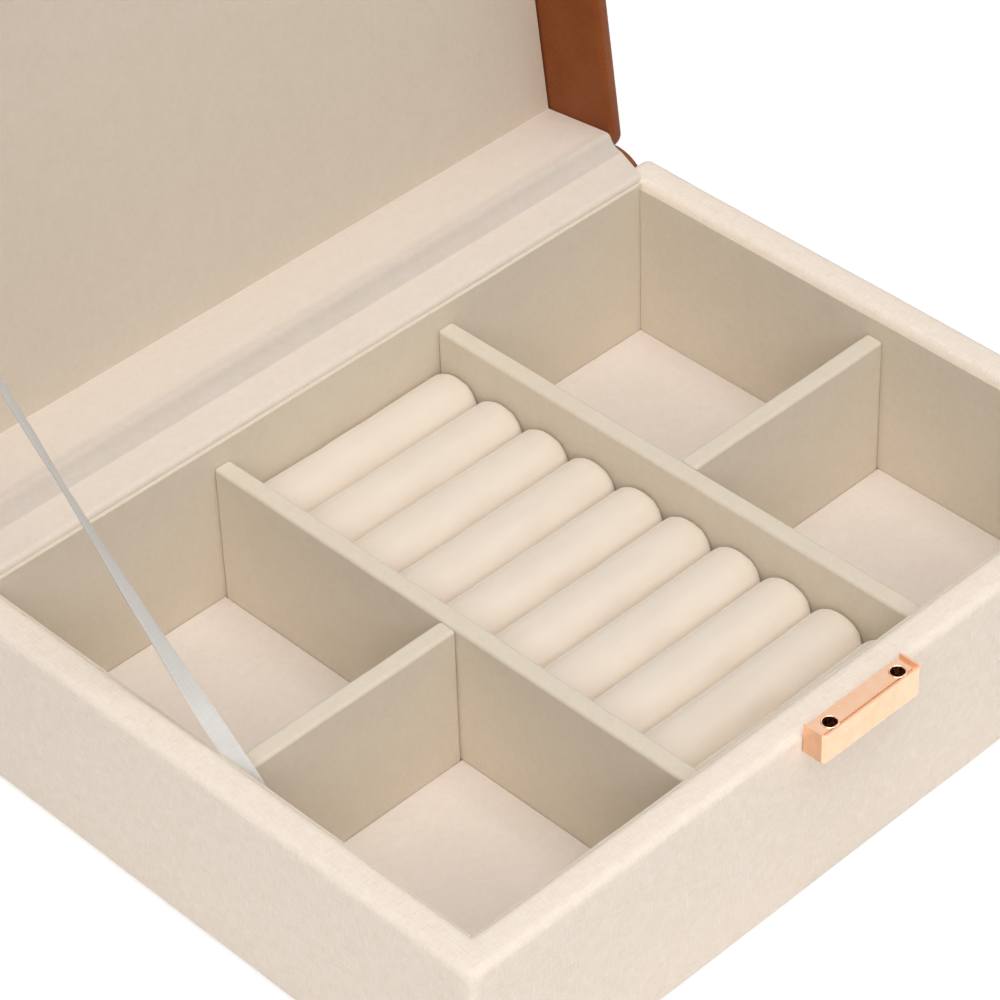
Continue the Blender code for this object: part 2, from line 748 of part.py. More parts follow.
def build_hinge_cover():
    """Suede over the gap: on the base's back rim, across, and up the lid's back wall."""
    half = lid_inner_x - COVER_SIDE_GAP
    inner_edge = inner_back + LINING_THICKNESS
    rim_end = outer_y
    low = rim_z + SEAT_GAP
    bm, centre = block((-half, inner_edge, low), (half, rim_end, low + COVER_THICKNESS))
    for vertex in bm.verts:
        if vertex.co.y < 0:
            vertex.co.x -= math.copysign(COVER_BASE_END_TAPER, vertex.co.x)
    add("hinge_cover_base", bm, centre, PALE_SUEDE)
    wall_y = lid_inner_back - SEAT_GAP
    plate(
        "hinge_cover_lid",
        (-half, wall_y - COVER_THICKNESS, lid_rim_z + COVER_OVER_LID_RIM),
        (half, wall_y, panel_z - SEAT_GAP),
        0,
        PALE_SUEDE,
        True,
    )
    middle_z = low + COVER_THICKNESS / 2
    middle_y = wall_y - COVER_THICKNESS / 2
    last = opened(middle_y, lid_rim_z + COVER_OVER_LID_RIM - SEAT_GAP)
    turn = opened(middle_y, lid_rim_z - SEAT_GAP - COVER_THICKNESS)
    crease = (outer_y + COVER_CREASE_BEHIND_BACK, middle_z)
    start = (rim_end + SEAT_GAP, middle_z)
    path = [start]
    path += bezier(
        (crease[0] - COVER_OVER_LID_RIM, crease[1]),
        crease,
        crease,
        (crease[0] + COVER_OVER_LID_RIM, crease[1] + 2 * COVER_OVER_LID_RIM),
        COVER_ROUND_STEPS,
    )
    path += [(turn.y, turn.z), (last.y, last.z)]
    band("hinge_cover_fold", path, half, COVER_THICKNESS, PALE_SUEDE)


def build_stay_ribbon():
    """A taut ribbon from the left wall to the lid's left wall, turning a little on its way up."""
    hinge = lid_axis.location
    base_end = Vector((-inner_x - LINING_THICKNESS / 2, hinge.y - RIBBON_BASE_FROM_HINGE, 0))
    base_end.z = lining_top + RIBBON_FACE_GAP
    lid_end = opened(hinge.y - RIBBON_LID_FROM_HINGE, lid_rim_z + RIBBON_LID_ABOVE_RIM)
    lid_end.x = -lid_inner_x + RIBBON_FACE_GAP + RIBBON_THICKNESS / 2
    run = lid_end - base_end
    along = run.normalized()
    across = along.cross(Vector((1, 0, 0))).normalized()
    middle = (base_end + lid_end) / 2
    bm = bmesh.new()
    bmesh.ops.create_grid(bm, x_segments=1, y_segments=RIBBON_STEPS, size=1 / 2)
    for vertex in bm.verts:
        share = vertex.co.y + 1 / 2
        turn = Matrix.Rotation(RIBBON_TWIST * math.sin(math.pi * share), 3, along)
        sideways = turn @ across * RIBBON_WIDTH * vertex.co.x
        if share < 1 / RIBBON_STEPS / 2:
            sideways -= along * sideways.z / along.z
        vertex.co = base_end + run * share + sideways - middle
    obj = add("stay_ribbon", bm, middle, SATIN, False, True)
    sheet = obj.modifiers.new("sheet", "SOLIDIFY")
    sheet.thickness = RIBBON_THICKNESS
    sheet.offset = 0


front_board, linen = build_base_shell()
build_linings()
build_dividers_and_pads()
build_ring_rolls()
lid_front_board, leather = build_lid()
build_hinge()
build_stay_ribbon()
build_clasp_base(front_board, linen)
build_clasp_lid(lid_front_board, leather)
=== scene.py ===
"""Looks of a hinged jewellery box: linen base, tan leather lid, suede linings, velvet ring rolls.

Metres, in the part's own frame. Lid pieces are drawn closed and turned open by the joint's range.
"""

import json
import math

import bmesh
import bpy
import numpy as np
from mathutils import Matrix, Vector, noise


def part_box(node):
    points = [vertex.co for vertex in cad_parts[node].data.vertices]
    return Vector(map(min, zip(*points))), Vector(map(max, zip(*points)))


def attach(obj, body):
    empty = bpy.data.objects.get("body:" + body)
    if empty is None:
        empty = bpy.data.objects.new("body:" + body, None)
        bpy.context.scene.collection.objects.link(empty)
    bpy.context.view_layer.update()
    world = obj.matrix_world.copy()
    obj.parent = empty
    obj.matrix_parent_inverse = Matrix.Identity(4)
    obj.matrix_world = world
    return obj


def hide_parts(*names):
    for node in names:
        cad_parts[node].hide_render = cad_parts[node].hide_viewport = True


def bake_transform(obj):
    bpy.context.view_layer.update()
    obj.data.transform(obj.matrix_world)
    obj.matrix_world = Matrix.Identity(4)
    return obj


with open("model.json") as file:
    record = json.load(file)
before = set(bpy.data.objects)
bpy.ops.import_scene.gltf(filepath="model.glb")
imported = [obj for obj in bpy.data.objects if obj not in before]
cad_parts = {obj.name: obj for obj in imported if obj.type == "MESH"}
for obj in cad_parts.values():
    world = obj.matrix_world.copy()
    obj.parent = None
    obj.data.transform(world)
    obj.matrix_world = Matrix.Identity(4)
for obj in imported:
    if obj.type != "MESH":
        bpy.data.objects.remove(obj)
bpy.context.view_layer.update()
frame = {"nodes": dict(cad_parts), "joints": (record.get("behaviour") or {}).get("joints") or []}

MM = 0.001

# Without a seed, the noise that wavers the fabric would differ from run to run.
WAVER_SEED = 1
noise.seed_set(WAVER_SEED)

# Camera, found from the box's own corners in the photograph
CAMERA_PLACE = (-0.5111, -0.5189, 0.6745)
CAMERA_AZIMUTH = math.radians(-43.293)
CAMERA_ELEVATION = math.radians(40.197)
CAMERA_ROLL = math.radians(-2.038)
CAMERA_LENS = 146.817
SENSOR_WIDTH = 36

# Light: (name, place, edge length, watts), each turned to the box
SKY_STRENGTH = 0.18
LAMPS = (
    ("overhead_softbox", (0.0, -0.25, 1.60), 0.90, 9.5),
    ("camera_softbox", (-0.90, -0.95, 1.25), 1.40, 17.6),
    ("front_softbox", (0.25, -1.45, 0.75), 1.00, 1.2),
    ("right_softbox", (1.20, -0.30, 1.10), 1.00, 2.9),
    ("left_card", (-0.80, -0.10, 0.04), 0.075, 0.34),
)
FLOOR_SIZE = 6.0
FLOOR_GLOW = 0.45
FLOOR_DROP = 0.2 * MM

# The hinge, as the record gives it
hinge = frame["joints"][0]
hinge_place = Vector(hinge["pos_m"])
closing_turn = Matrix.Rotation(math.radians(hinge["range_deg"][1]), 4, "X")
to_closed = Matrix.Translation(hinge_place) @ closing_turn @ Matrix.Translation(-hinge_place)
to_open = to_closed.inverted()


# Materials


def linear(hex_colour):
    """An sRGB hex colour as linear light."""
    shares = [int(hex_colour[i : i + 2], 16) / 255 for i in (1, 3, 5)]
    light = [c / 12.92 if c <= 0.04045 else ((c + 0.055) / 1.055) ** 2.4 for c in shares]
    return (*light, 1)


def add_node(tree, kind, inputs=None, **settings):
    """One node with its settings; inputs maps a socket to a value or to another node's output."""
    node = tree.nodes.new(kind)
    for name, value in settings.items():
        setattr(node, name, value)
    for socket, value in (inputs or {}).items():
        if isinstance(value, bpy.types.NodeSocket):
            tree.links.new(value, node.inputs[socket])
        else:
            node.inputs[socket].default_value = value
    return node


def start_material(name, roughness, metallic=0.0, **sockets):
    material = bpy.data.materials.new(name)
    material.use_nodes = True
    tree = material.node_tree
    shader = tree.nodes["Principled BSDF"]
    shader.inputs["Roughness"].default_value = roughness
    shader.inputs["Metallic"].default_value = metallic
    for socket, value in sockets.items():
        shader.inputs[socket.replace("_", " ")].default_value = value
    return material, tree, shader


def stretched_noise(tree, vector, sizes, detail=2.0, roughness=0.5):
    """Noise whose grains measure sizes, in metres, along each axis."""
    scale = tuple(1 / size for size in sizes)
    placed = add_node(tree, "ShaderNodeMapping", {"Vector": vector, "Scale": scale})
    inputs = {"Vector": placed.outputs["Vector"], "Scale": 1.0, "Detail": detail, "Roughness": roughness}
    return add_node(tree, "ShaderNodeTexNoise", inputs).outputs["Fac"]


def ranged(tree, value, low, high, to_low=0.0, to_high=1.0):
    inputs = {"Value": value, "From Min": low, "From Max": high, "To Min": to_low, "To Max": to_high}
    return add_node(tree, "ShaderNodeMapRange", inputs).outputs["Result"]


def summed(tree, first, second, operation="ADD"):
    return add_node(tree, "ShaderNodeMath", {0: first, 1: second}, operation=operation).outputs[0]


def tinted(tree, share, first, second, blend_type="MIX"):
    inputs = {"Factor": share, "A": first, "B": second}
    return add_node(tree, "ShaderNodeMix", inputs, data_type="RGBA", blend_type=blend_type).outputs["Result"]


def raised(tree, shader, height, depth, strength=1.0):
    inputs = {"Height": height, "Distance": depth, "Strength": strength}
    bump = add_node(tree, "ShaderNodeBump", inputs)
    tree.links.new(bump.outputs["Normal"], shader.inputs["Normal"])


def woven_linen():
    """Cream linen, plain woven from slubby thread: a fine grain, with short light threads both ways."""
    material, tree, shader = start_material("linen_plain_woven", 0.85, Sheen_Weight=0.1, Sheen_Roughness=0.5)
    cloth = add_node(tree, "ShaderNodeUVMap", uv_map="cloth").outputs["UV"]
    # Real threads are about 0.35 mm apart; they are drawn at 0.45 mm, so that they show.
    thread, run = 0.45 * MM, 3.5 * MM
    warp = stretched_noise(tree, cloth, (thread, run, MM), 2.0)
    weft = stretched_noise(tree, cloth, (run, thread, MM), 2.0)
    speckle = stretched_noise(tree, cloth, (0.5 * MM,) * 3, 3.0, 0.7)
    weave = summed(tree, summed(tree, warp, weft), speckle)
    slub, slub_run = 0.45 * MM, 8 * MM
    warp_slub = ranged(tree, stretched_noise(tree, cloth, (slub, slub_run, MM), 1.0), 0.62, 0.80)
    weft_slub = ranged(tree, stretched_noise(tree, cloth, (slub_run, slub, MM), 1.0), 0.62, 0.80)
    slubs = summed(tree, warp_slub, weft_slub, "MAXIMUM")
    blotches = stretched_noise(tree, cloth, (4 * MM, 4 * MM, MM), 3.0)
    ground = tinted(tree, ranged(tree, weave, 1.1, 1.9), linear("#EDDCC9"), linear("#FAEDDF"))
    clouded = tinted(tree, ranged(tree, blotches, 0.45, 0.75, 0.0, 0.35), ground, linear("#FBF0E6"))
    colour = tinted(tree, summed(tree, slubs, 0.7, "MULTIPLY"), clouded, linear("#FDF5EC"))
    tree.links.new(colour, shader.inputs["Base Color"])
    raised(tree, shader, summed(tree, weave, slubs), 0.09 * MM, 0.6)
    return material


def napped_suede(name, shade, light, fold=None):
    """Beige microfibre suede, brushed: a matt nap, finely mottled like felt where it lies differently.

    Within fold, from crease to lip along the piece's cloth map, the colour is darkened: painted shade in the
    fold.
    """
    material, tree, shader = start_material(name, 0.9, Sheen_Weight=0.15, Sheen_Roughness=0.6)
    place = add_node(tree, "ShaderNodeTexCoord").outputs["Object"]
    clouds = stretched_noise(tree, place, (7 * MM,) * 3, 3.0)
    felt = stretched_noise(tree, place, (2.2 * MM,) * 3, 3.0, 0.6)
    grain = stretched_noise(tree, place, (0.8 * MM,) * 3, 2.0)
    nap = summed(tree, summed(tree, clouds, 0.25, "MULTIPLY"), summed(tree, felt, 0.4, "MULTIPLY"))
    nap = summed(tree, nap, summed(tree, grain, 0.35, "MULTIPLY"))
    colour = tinted(tree, ranged(tree, nap, 0.30, 0.70), linear(shade), linear(light))
    if fold:
        crease, lip = fold
        cloth = add_node(tree, "ShaderNodeUVMap", uv_map="cloth").outputs["UV"]
        along = add_node(tree, "ShaderNodeSeparateXYZ", {"Vector": cloth}).outputs["Y"]
        entering = ranged(tree, along, crease + FOLD_SHADE_SETS_IN[0], crease + FOLD_SHADE_SETS_IN[1])
        leaving = ranged(tree, along, lip + FOLD_SHADE_ENDS[0], lip + FOLD_SHADE_ENDS[1], 1.0, 0.0)
        # Painted shade: a darker band across the fold, from crease to lip.
        fold_shade = summed(tree, entering, leaving, "MULTIPLY")
        colour = tinted(tree, fold_shade, colour, (FOLD_PAINTED_SHADE,) * 3 + (1,), "MULTIPLY")
    tree.links.new(colour, shader.inputs["Base Color"])
    raised(tree, shader, grain, 0.05 * MM, 0.6)
    return material


def cream_velvet():
    """Cream velvet over foam, short pile: very soft light and dark, with no gloss."""
    sheen = {"Sheen_Weight": 0.5, "Sheen_Roughness": 0.5}
    material, tree, shader = start_material("velvet_short_pile", 0.95, **sheen)
    place = add_node(tree, "ShaderNodeTexCoord").outputs["Object"]
    clouds = stretched_noise(tree, place, (12 * MM, 6 * MM, 6 * MM), 3.0)
    pile = stretched_noise(tree, place, (0.6 * MM,) * 3, 2.0)
    nap = summed(tree, summed(tree, clouds, 0.7, "MULTIPLY"), summed(tree, pile, 0.3, "MULTIPLY"))
    colour = tinted(tree, ranged(tree, nap, 0.35, 0.65), linear("#E6D8C7"), linear("#EADDCD"))
    tree.links.new(colour, shader.inputs["Base Color"])
    raised(tree, shader, pile, 0.05 * MM, 0.5)
    return material


def tanned_leather():
    """Tan cowhide, lightly embossed and waxed: small pebbles with a satin shine."""
    material, tree, shader = start_material("leather_embossed_tan", 0.42, Specular_IOR_Level=0.3)
    place = add_node(tree, "ShaderNodeTexCoord").outputs["Object"]
    placed = add_node(tree, "ShaderNodeMapping", {"Vector": place, "Scale": (1 / MM,) * 3})
    inputs = {"Vector": placed.outputs["Vector"], "Scale": 0.9, "Randomness": 1.0}
    pebbles = add_node(tree, "ShaderNodeTexVoronoi", inputs, feature="DISTANCE_TO_EDGE").outputs["Distance"]
    creases = ranged(tree, pebbles, 0.0, 0.12, 0.45, 1.0)
    clouds = stretched_noise(tree, place, (16 * MM,) * 3, 4.0)
    ground = tinted(tree, ranged(tree, clouds, 0.3, 0.7), linear("#7C3A0E"), linear("#8C4A18"))
    colour = tinted(tree, creases, linear("#72340D"), ground)
    tree.links.new(colour, shader.inputs["Base Color"])
    tree.links.new(ranged(tree, clouds, 0.3, 0.7, 0.48, 0.38), shader.inputs["Roughness"])
    raised(tree, shader, creases, 0.04 * MM, 0.4)
    return material


def plated_gold():
    """Brass, polished and plated pale gold: a warm, smooth sheen with faint polishing marks."""
    material, tree, shader = start_material("brass_plated_pale_gold", 0.22, 1.0)
    place = add_node(tree, "ShaderNodeTexCoord").outputs["Object"]
    marks = stretched_noise(tree, place, (4 * MM, 0.3 * MM, 0.3 * MM), 3.0)
    clouds = stretched_noise(tree, place, (3 * MM,) * 3, 2.0)
    colour = tinted(tree, ranged(tree, clouds, 0.35, 0.65), linear("#F0C29F"), linear("#F3C9AB"))
    tree.links.new(colour, shader.inputs["Base Color"])
    tree.links.new(ranged(tree, marks, 0.3, 0.7, 0.16, 0.30), shader.inputs["Roughness"])
    raised(tree, shader, marks, 0.01 * MM, 0.3)
    return material


def bore_painted_shade():
    """Bare brass inside a drilled hole, partly gone brown and partly darkened as painted shade: dull, with
    small painted pinkish glints.
    """
    material, tree, shader = start_material("brass_bore_brown_painted_shade", 0.4, 1.0)
    place = add_node(tree, "ShaderNodeTexCoord").outputs["Object"]
    stains_and_glints = stretched_noise(tree, place, (0.8 * MM,) * 3, 2.0)
    # The dark ground is partly the brass's own brown and partly painted shade; the pale flecks are painted
    # glints.
    colour = tinted(tree, ranged(tree, stains_and_glints, 0.4, 0.6), linear("#3A241C"), linear("#A87860"))
    tree.links.new(colour, shader.inputs["Base Color"])
    return material


def satin_weave():
    """Grey satin ribbon: a smooth silky face with fine ribs across it and firm edges."""
    material, tree, shader = start_material("ribbon_satin_grey", 0.38, Sheen_Weight=0.2, Anisotropic=0.4)
    cloth = add_node(tree, "ShaderNodeUVMap", uv_map="cloth").outputs["UV"]
    ribs = stretched_noise(tree, cloth, (4 * MM, 0.35 * MM, MM), 1.0)
    floats = stretched_noise(tree, cloth, (0.3 * MM, 9 * MM, MM), 2.0)
    weave = summed(tree, ribs, floats)
    colour = tinted(tree, ranged(tree, weave, 0.6, 1.4), linear("#C4C0BA"), linear("#CFCBC6"))
    tree.links.new(colour, shader.inputs["Base Color"])
    raised(tree, shader, weave, 0.02 * MM, 0.4)
    return material


def pressed_board():
    """Grey board, pressed from pulp: matt, with flecks of fibre."""
    material, tree, shader = start_material("board_pressed_grey", 0.9)
    place = add_node(tree, "ShaderNodeTexCoord").outputs["Object"]
    flecks = stretched_noise(tree, place, (1.5 * MM, 1.5 * MM, 0.5 * MM), 4.0, 0.7)
    colour = tinted(tree, ranged(tree, flecks, 0.35, 0.65), linear("#A39A8D"), linear("#BDB4A6"))
    tree.links.new(colour, shader.inputs["Base Color"])
    raised(tree, shader, flecks, 0.05 * MM, 0.5)
    return material


def lining_paper():
    """Beige lining paper, calendered: matt, with faint fibres."""
    material, tree, shader = start_material("paper_lining_beige", 0.8)
    place = add_node(tree, "ShaderNodeTexCoord").outputs["Object"]
    fibres = stretched_noise(tree, place, (3 * MM, 0.6 * MM, MM), 4.0, 0.7)
    colour = tinted(tree, ranged(tree, fibres, 0.35, 0.65), linear("#D2C6B6"), linear("#DED3C4"))
    tree.links.new(colour, shader.inputs["Base Color"])
    raised(tree, shader, fibres, 0.03 * MM, 0.4)
    return material


def zinc_plate():
    """Steel screw, zinc plated: grey metal with a soft shine."""
    material, tree, shader = start_material("steel_zinc_plated", 0.35, 1.0)
    place = add_node(tree, "ShaderNodeTexCoord").outputs["Object"]
    grain = stretched_noise(tree, place, (0.5 * MM,) * 3, 2.0)
    colour = tinted(tree, grain, linear("#A6A8AC"), linear("#C4C6CA"))
    tree.links.new(colour, shader.inputs["Base Color"])
    return material


# Where the hinge cover folds: from the crease on the base's rim to the lip of the lid's back wall
COVER_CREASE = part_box("linen_wrap")[1].y + 5.2 * MM
COVER_LIP = COVER_CREASE + 3.7 * MM
# How much of the colour is kept under the painted shade in the hinge cover's fold
FOLD_PAINTED_SHADE = 0.80
# Where the painted fold shade sets in beside the crease, and where it ends beside the lip
FOLD_SHADE_SETS_IN = (-0.2 * MM, 0.4 * MM)
FOLD_SHADE_ENDS = (-0.5 * MM, 4.5 * MM)

linen = woven_linen()
wall_suede = napped_suede("suede_brushed_beige", "#DACDB9", "#E3D7C4")
# The lid panel's suede is the lining suede painted darker: painted shade.
panel_suede_painted_shade = napped_suede("suede_lid_painted_shade", "#D1C3B0", "#D9CCBA")
# The floor pads' suede is the lining suede painted lighter: painted light for the deep compartments.
floor_suede_painted_light = napped_suede("suede_floor_painted_light", "#E4D7CB", "#EDE1D7")
# The cover's suede is the lining suede painted lighter, as painted light, and darker in its fold, as painted
# shade.
cover_suede_painted_light_shade = napped_suede("suede_cover_painted_light_and_shade", "#E0D2C3", "#E9DCCF", (COVER_CREASE, COVER_LIP))
velvet = cream_velvet()
leather = tanned_leather()
gold = plated_gold()
bore = bore_painted_shade()
satin = satin_weave()
greyboard = pressed_board()
paper = lining_paper()
zinc = zinc_plate()


# Shaping


def block(low, high):
    """A box between two corners."""
    bm = bmesh.new()
    low, high = Vector(low), Vector(high)
    placing = Matrix.Translation((low + high) / 2) @ Matrix.Diagonal((*(high - low), 1))
    bmesh.ops.create_cube(bm, size=1, matrix=placing)
    return bm


def round_over(bm, edges, radius, segments):
    bmesh.ops.bevel(
        bm, geom=edges, offset=radius, segments=segments, profile=0.5, material=-1, affect="EDGES"
    )


def slice_evenly(bm, axis, spacing):
    """Cuts across one axis, so that the surface has points to bend at."""
    places = [vert.co[axis] for vert in bm.verts]
    low, high = min(places), max(places)
    count = round((high - low) / spacing)
    across = Vector((0, 0, 0))
    across[axis] = 1
    for step in range(1, count):
        place = across * (low + (high - low) * step / count)
        everything = bm.verts[:] + bm.edges[:] + bm.faces[:]
        bmesh.ops.bisect_plane(bm, geom=everything, dist=MM / 100, plane_co=place, plane_no=across)


def waver(bm, depth, grain, wanted=None):
    """Moves the points a little, as hand-laid fabric lies."""
    for vert in bm.verts:
        if wanted is None or wanted(vert.co):
            vert.co += noise.noise_vector(vert.co / grain) * depth


def closed_box(name):
    """A lid node's lowest and highest corners with the lid closed."""
    places = np.array([to_closed @ vert.co for vert in frame["nodes"][name].data.vertices])
    return Vector(places.min(0)), Vector(places.max(0))


def make_piece(name, bm, materials, body, nodes, sharp=40):
    """The finished mesh as a piece that rides on body and stands for nodes."""
    mesh = bpy.data.meshes.new(name)
    bm.to_mesh(mesh)
    bm.free()
    mesh.shade_smooth()
    mesh.set_sharp_from_angle(angle=math.radians(sharp))
    obj = bpy.data.objects.new(name, mesh)
    bpy.context.scene.collection.objects.link(obj)
    for material in materials:
        mesh.materials.append(material)
    if body:
        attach(obj, body)
    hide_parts(*nodes)
    return obj


def even_shading(obj):
    shading = obj.modifiers.new("even_shading", "WEIGHTED_NORMAL")
    shading.keep_sharp = True


# A face nearer to the outside than this is on the outer half of its wall
HALF_WALL = 4 * MM
# Keeps the side walls' part of the cloth map away from the front's and the back's
SIDE_MAP_SHIFT = 0.5


def map_wrap(bm, high):
    """Lays a cloth map on the wrapped walls: along the wall, and over the rim from side to side."""
    cloth = bm.loops.layers.uv.new("cloth")
    for face in bm.faces:
        middle = face.calc_center_median()
        depth_x = high.x - abs(middle.x)
        depth_y = high.y - abs(middle.y)
        on_side = depth_x < depth_y
        outside = min(depth_x, depth_y) < HALF_WALL
        for loop in face.loops:
            place = loop.vert.co
            depth = high.x - abs(place.x) if on_side else high.y - abs(place.y)
            along = place.y + SIDE_MAP_SHIFT if on_side else place.x
            run = place.z if outside else 2 * high.z - place.z
            loop[cloth].uv = (along, run + depth)


# Base shell

LINEN_THICKNESS = 0.6 * MM
LINEN_TURN_IN = 12 * MM
LINEN_TURN_UNDER = 9 * MM
RIM_OUTER_RADIUS = 2.4 * MM
RIM_INNER_RADIUS = 2.7 * MM
LINEN_SPACING = 7 * MM
LINEN_WAVER = 0.12 * MM
LINEN_WAVER_GRAIN = 22 * MM
# What shows of a lining's edge; the linen's rounded edge covers the rest of the card.
LINING_EDGE = 0.6 * MM
BACK_LINING_EDGE = 1.0 * MM
BACK_LINING_RISE = 1.2 * MM
# At the back the linen turns down this far behind the lining's edge, under the hinge cover.
BACK_LINEN_ROOM = 0.5 * MM


def build_linen_cover():
    """Linen up the outside, over the rim and down the inside, and turned under the foot."""
    low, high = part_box("linen_wrap")
    low.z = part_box("underside_cover")[1].z
    opening_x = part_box("right_lining")[0].x + LINING_EDGE
    opening_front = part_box("front_lining")[1].y - LINING_EDGE
    opening_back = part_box("back_lining")[0].y + BACK_LINING_EDGE + BACK_LINEN_ROOM
    bm = block(low, high)
    rim_face = next(face for face in bm.faces if face.normal.z > 0.5)
    foot_face = next(face for face in bm.faces if face.normal.z < -0.5)
    bmesh.ops.inset_region(bm, faces=[foot_face], thickness=LINEN_TURN_UNDER)
    bmesh.ops.inset_region(bm, faces=[rim_face], thickness=MM)
    for vert in rim_face.verts:
        vert.co.x = math.copysign(opening_x, vert.co.x)
        vert.co.y = opening_back if vert.co.y > 0 else opening_front
    inner_edges = list(rim_face.edges)
    bmesh.ops.delete(bm, geom=[rim_face, foot_face], context="FACES_ONLY")
    pulled = bmesh.ops.extrude_edge_only(bm, edges=inner_edges)["geom"]
    turned_in = [part for part in pulled if isinstance(part, bmesh.types.BMVert)]
    bmesh.ops.translate(bm, verts=turned_in, vec=(0, 0, -LINEN_TURN_IN))

    def outer(edge):
        ends = [vert.co for vert in edge.verts]
        upright = abs(ends[0].z - ends[1].z) > MM
        at_corner = all(abs(abs(p.x) - high.x) < MM and abs(abs(p.y) - high.y) < MM for p in ends)
        level = abs(ends[0].z - ends[1].z) < MM
        at_side = all(abs(p.x) > high.x - MM for p in ends) or all(abs(p.y) > high.y - MM for p in ends)
        return (upright and at_corner) or (level and at_side)

    round_over(bm, [edge for edge in bm.edges if outer(edge)], RIM_OUTER_RADIUS, 8)

    def inner(edge):
        ends = [vert.co for vert in edge.verts]
        level = all(abs(p.z - high.z) < MM / 10 for p in ends)
        along_side = all(abs(abs(p.x) - opening_x) < MM / 10 for p in ends)
        at_front = all(abs(p.y - opening_front) < MM / 10 for p in ends)
        at_back = all(abs(p.y - opening_back) < MM / 10 for p in ends)
        return level and (along_side or at_front or at_back)

    round_over(bm, [edge for edge in bm.edges if inner(edge)], RIM_INNER_RADIUS, 6)
    for axis in (0, 1, 2):
        slice_evenly(bm, axis, LINEN_SPACING)
    bmesh.ops.recalc_face_normals(bm, faces=bm.faces)
    outside = max(bm.faces, key=lambda face: face.calc_center_median().x)
    if outside.normal.x < 0:
        bmesh.ops.reverse_faces(bm, faces=bm.faces)
    map_wrap(bm, high)
    waver(bm, LINEN_WAVER, LINEN_WAVER_GRAIN, lambda place: place.z > low.z + MM)
    obj = make_piece("linen_cover", bm, [linen], "base", ["linen_wrap"], 60)
    shell = obj.modifiers.new("sheet", "SOLIDIFY")
    shell.thickness = LINEN_THICKNESS
    shell.offset = -1
    shell.use_even_offset = True


# Each card's tone of suede, and the radius of its edges in mm; pale is the same suede painted lighter, as
# painted light on the deep floor pads
CARDS = {
    "front_lining": ("wall", 0.3),
    "back_lining": ("wall", 0.4),
    "left_lining": ("wall", 0.3),
    "right_lining": ("wall", 0.3),
    "left_long_divider": ("wall", 1.0),
    "right_long_divider": ("wall", 1.0),
    "left_cross_divider": ("wall", 1.0),
    "right_cross_divider": ("wall", 1.0),
    "floor_pad_back_left": ("pale", 0.35),
    "floor_pad_back_right": ("pale", 0.35),
    "floor_pad_front_left": ("pale", 0.35),
    "floor_pad_front_right": ("pale", 0.35),
    "floor_pad_centre": ("pale", 0.35),
}
# The suede's own give, which lets two cards meet where the part leaves them apart
CARD_SWELL = 0.12 * MM
CARD_SPACING = 8 * MM
# A card is sliced only across its sides that are longer than this.
CARD_LONG_SIDE = 20 * MM
CARD_WAVER = 0.10 * MM
CARD_WAVER_GRAIN = 15 * MM


def card_corners(name):
    """A card's corners, with the linings as thick as shows between their face and the linen."""
    low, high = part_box(name)
    if name == "left_lining":
        low.x = high.x - LINING_EDGE
    elif name == "right_lining":
        high.x = low.x + LINING_EDGE
    elif name == "front_lining":
        low.y = high.y - LINING_EDGE
    elif name == "back_lining":
        high.y = low.y + BACK_LINING_EDGE
        high.z += BACK_LINING_RISE
    if name in ("front_lining", "back_lining"):
        low.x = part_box("left_lining")[1].x - LINING_EDGE
        high.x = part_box("right_lining")[0].x + LINING_EDGE
    return low, high


def build_cards():
    """Suede covered cards and boards with soft edges, a little uneven as hand-covered ones are."""
    for name, (tone, radius) in CARDS.items():
        low, high = card_corners(name)
        swell = Vector((CARD_SWELL,) * 3)
        bm = block(low - swell, high + swell)
        round_over(bm, list(bm.edges), radius * MM, 4)
        for axis in (0, 1, 2):
            if high[axis] - low[axis] > CARD_LONG_SIDE:
                slice_evenly(bm, axis, CARD_SPACING)
        waver(bm, CARD_WAVER, CARD_WAVER_GRAIN)
        # Pale cards take the suede painted lighter, as painted light.
        suede = floor_suede_painted_light if tone == "pale" else wall_suede
        obj = make_piece("suede_" + name, bm, [suede], "base", [name])
        even_shading(obj)


# The linen turned under the foot takes up this much under the floor board.
TURNED_LINEN_ROOM = 0.4 * MM
BOARD_EDGE_RADIUS = 0.6 * MM


def build_bottom_board():
    """The base's floor board, its edges eased so that the linen goes round them."""
    low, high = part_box("bottom_board")
    bm = block((low.x, low.y, low.z + TURNED_LINEN_ROOM), high)
    round_over(bm, list(bm.edges), BOARD_EDGE_RADIUS, 3)
    make_piece("board_bottom", bm, [greyboard], "base", ["bottom_board"])


# Ring rolls

ROLL_NAMES = [f"ring_roll_{number:02d}" for number in range(1, 11)]
ROLL_VOXEL = 1.8 * MM
ROLL_SWELL_CAP = 0.7 * MM
ROLL_FRAMES = 20
ROLL_TOP_SHARE = 0.47
ROLL_END_RADIUS = 2.6 * MM
# Neighbours press into each other by this much on each side.
ROLL_PRESS = 0.4 * MM
# The form starts smaller than its room by this much on each side.
ROLL_SQUEEZE = 0.1 * MM
ROLL_PRESSURE = 4.0


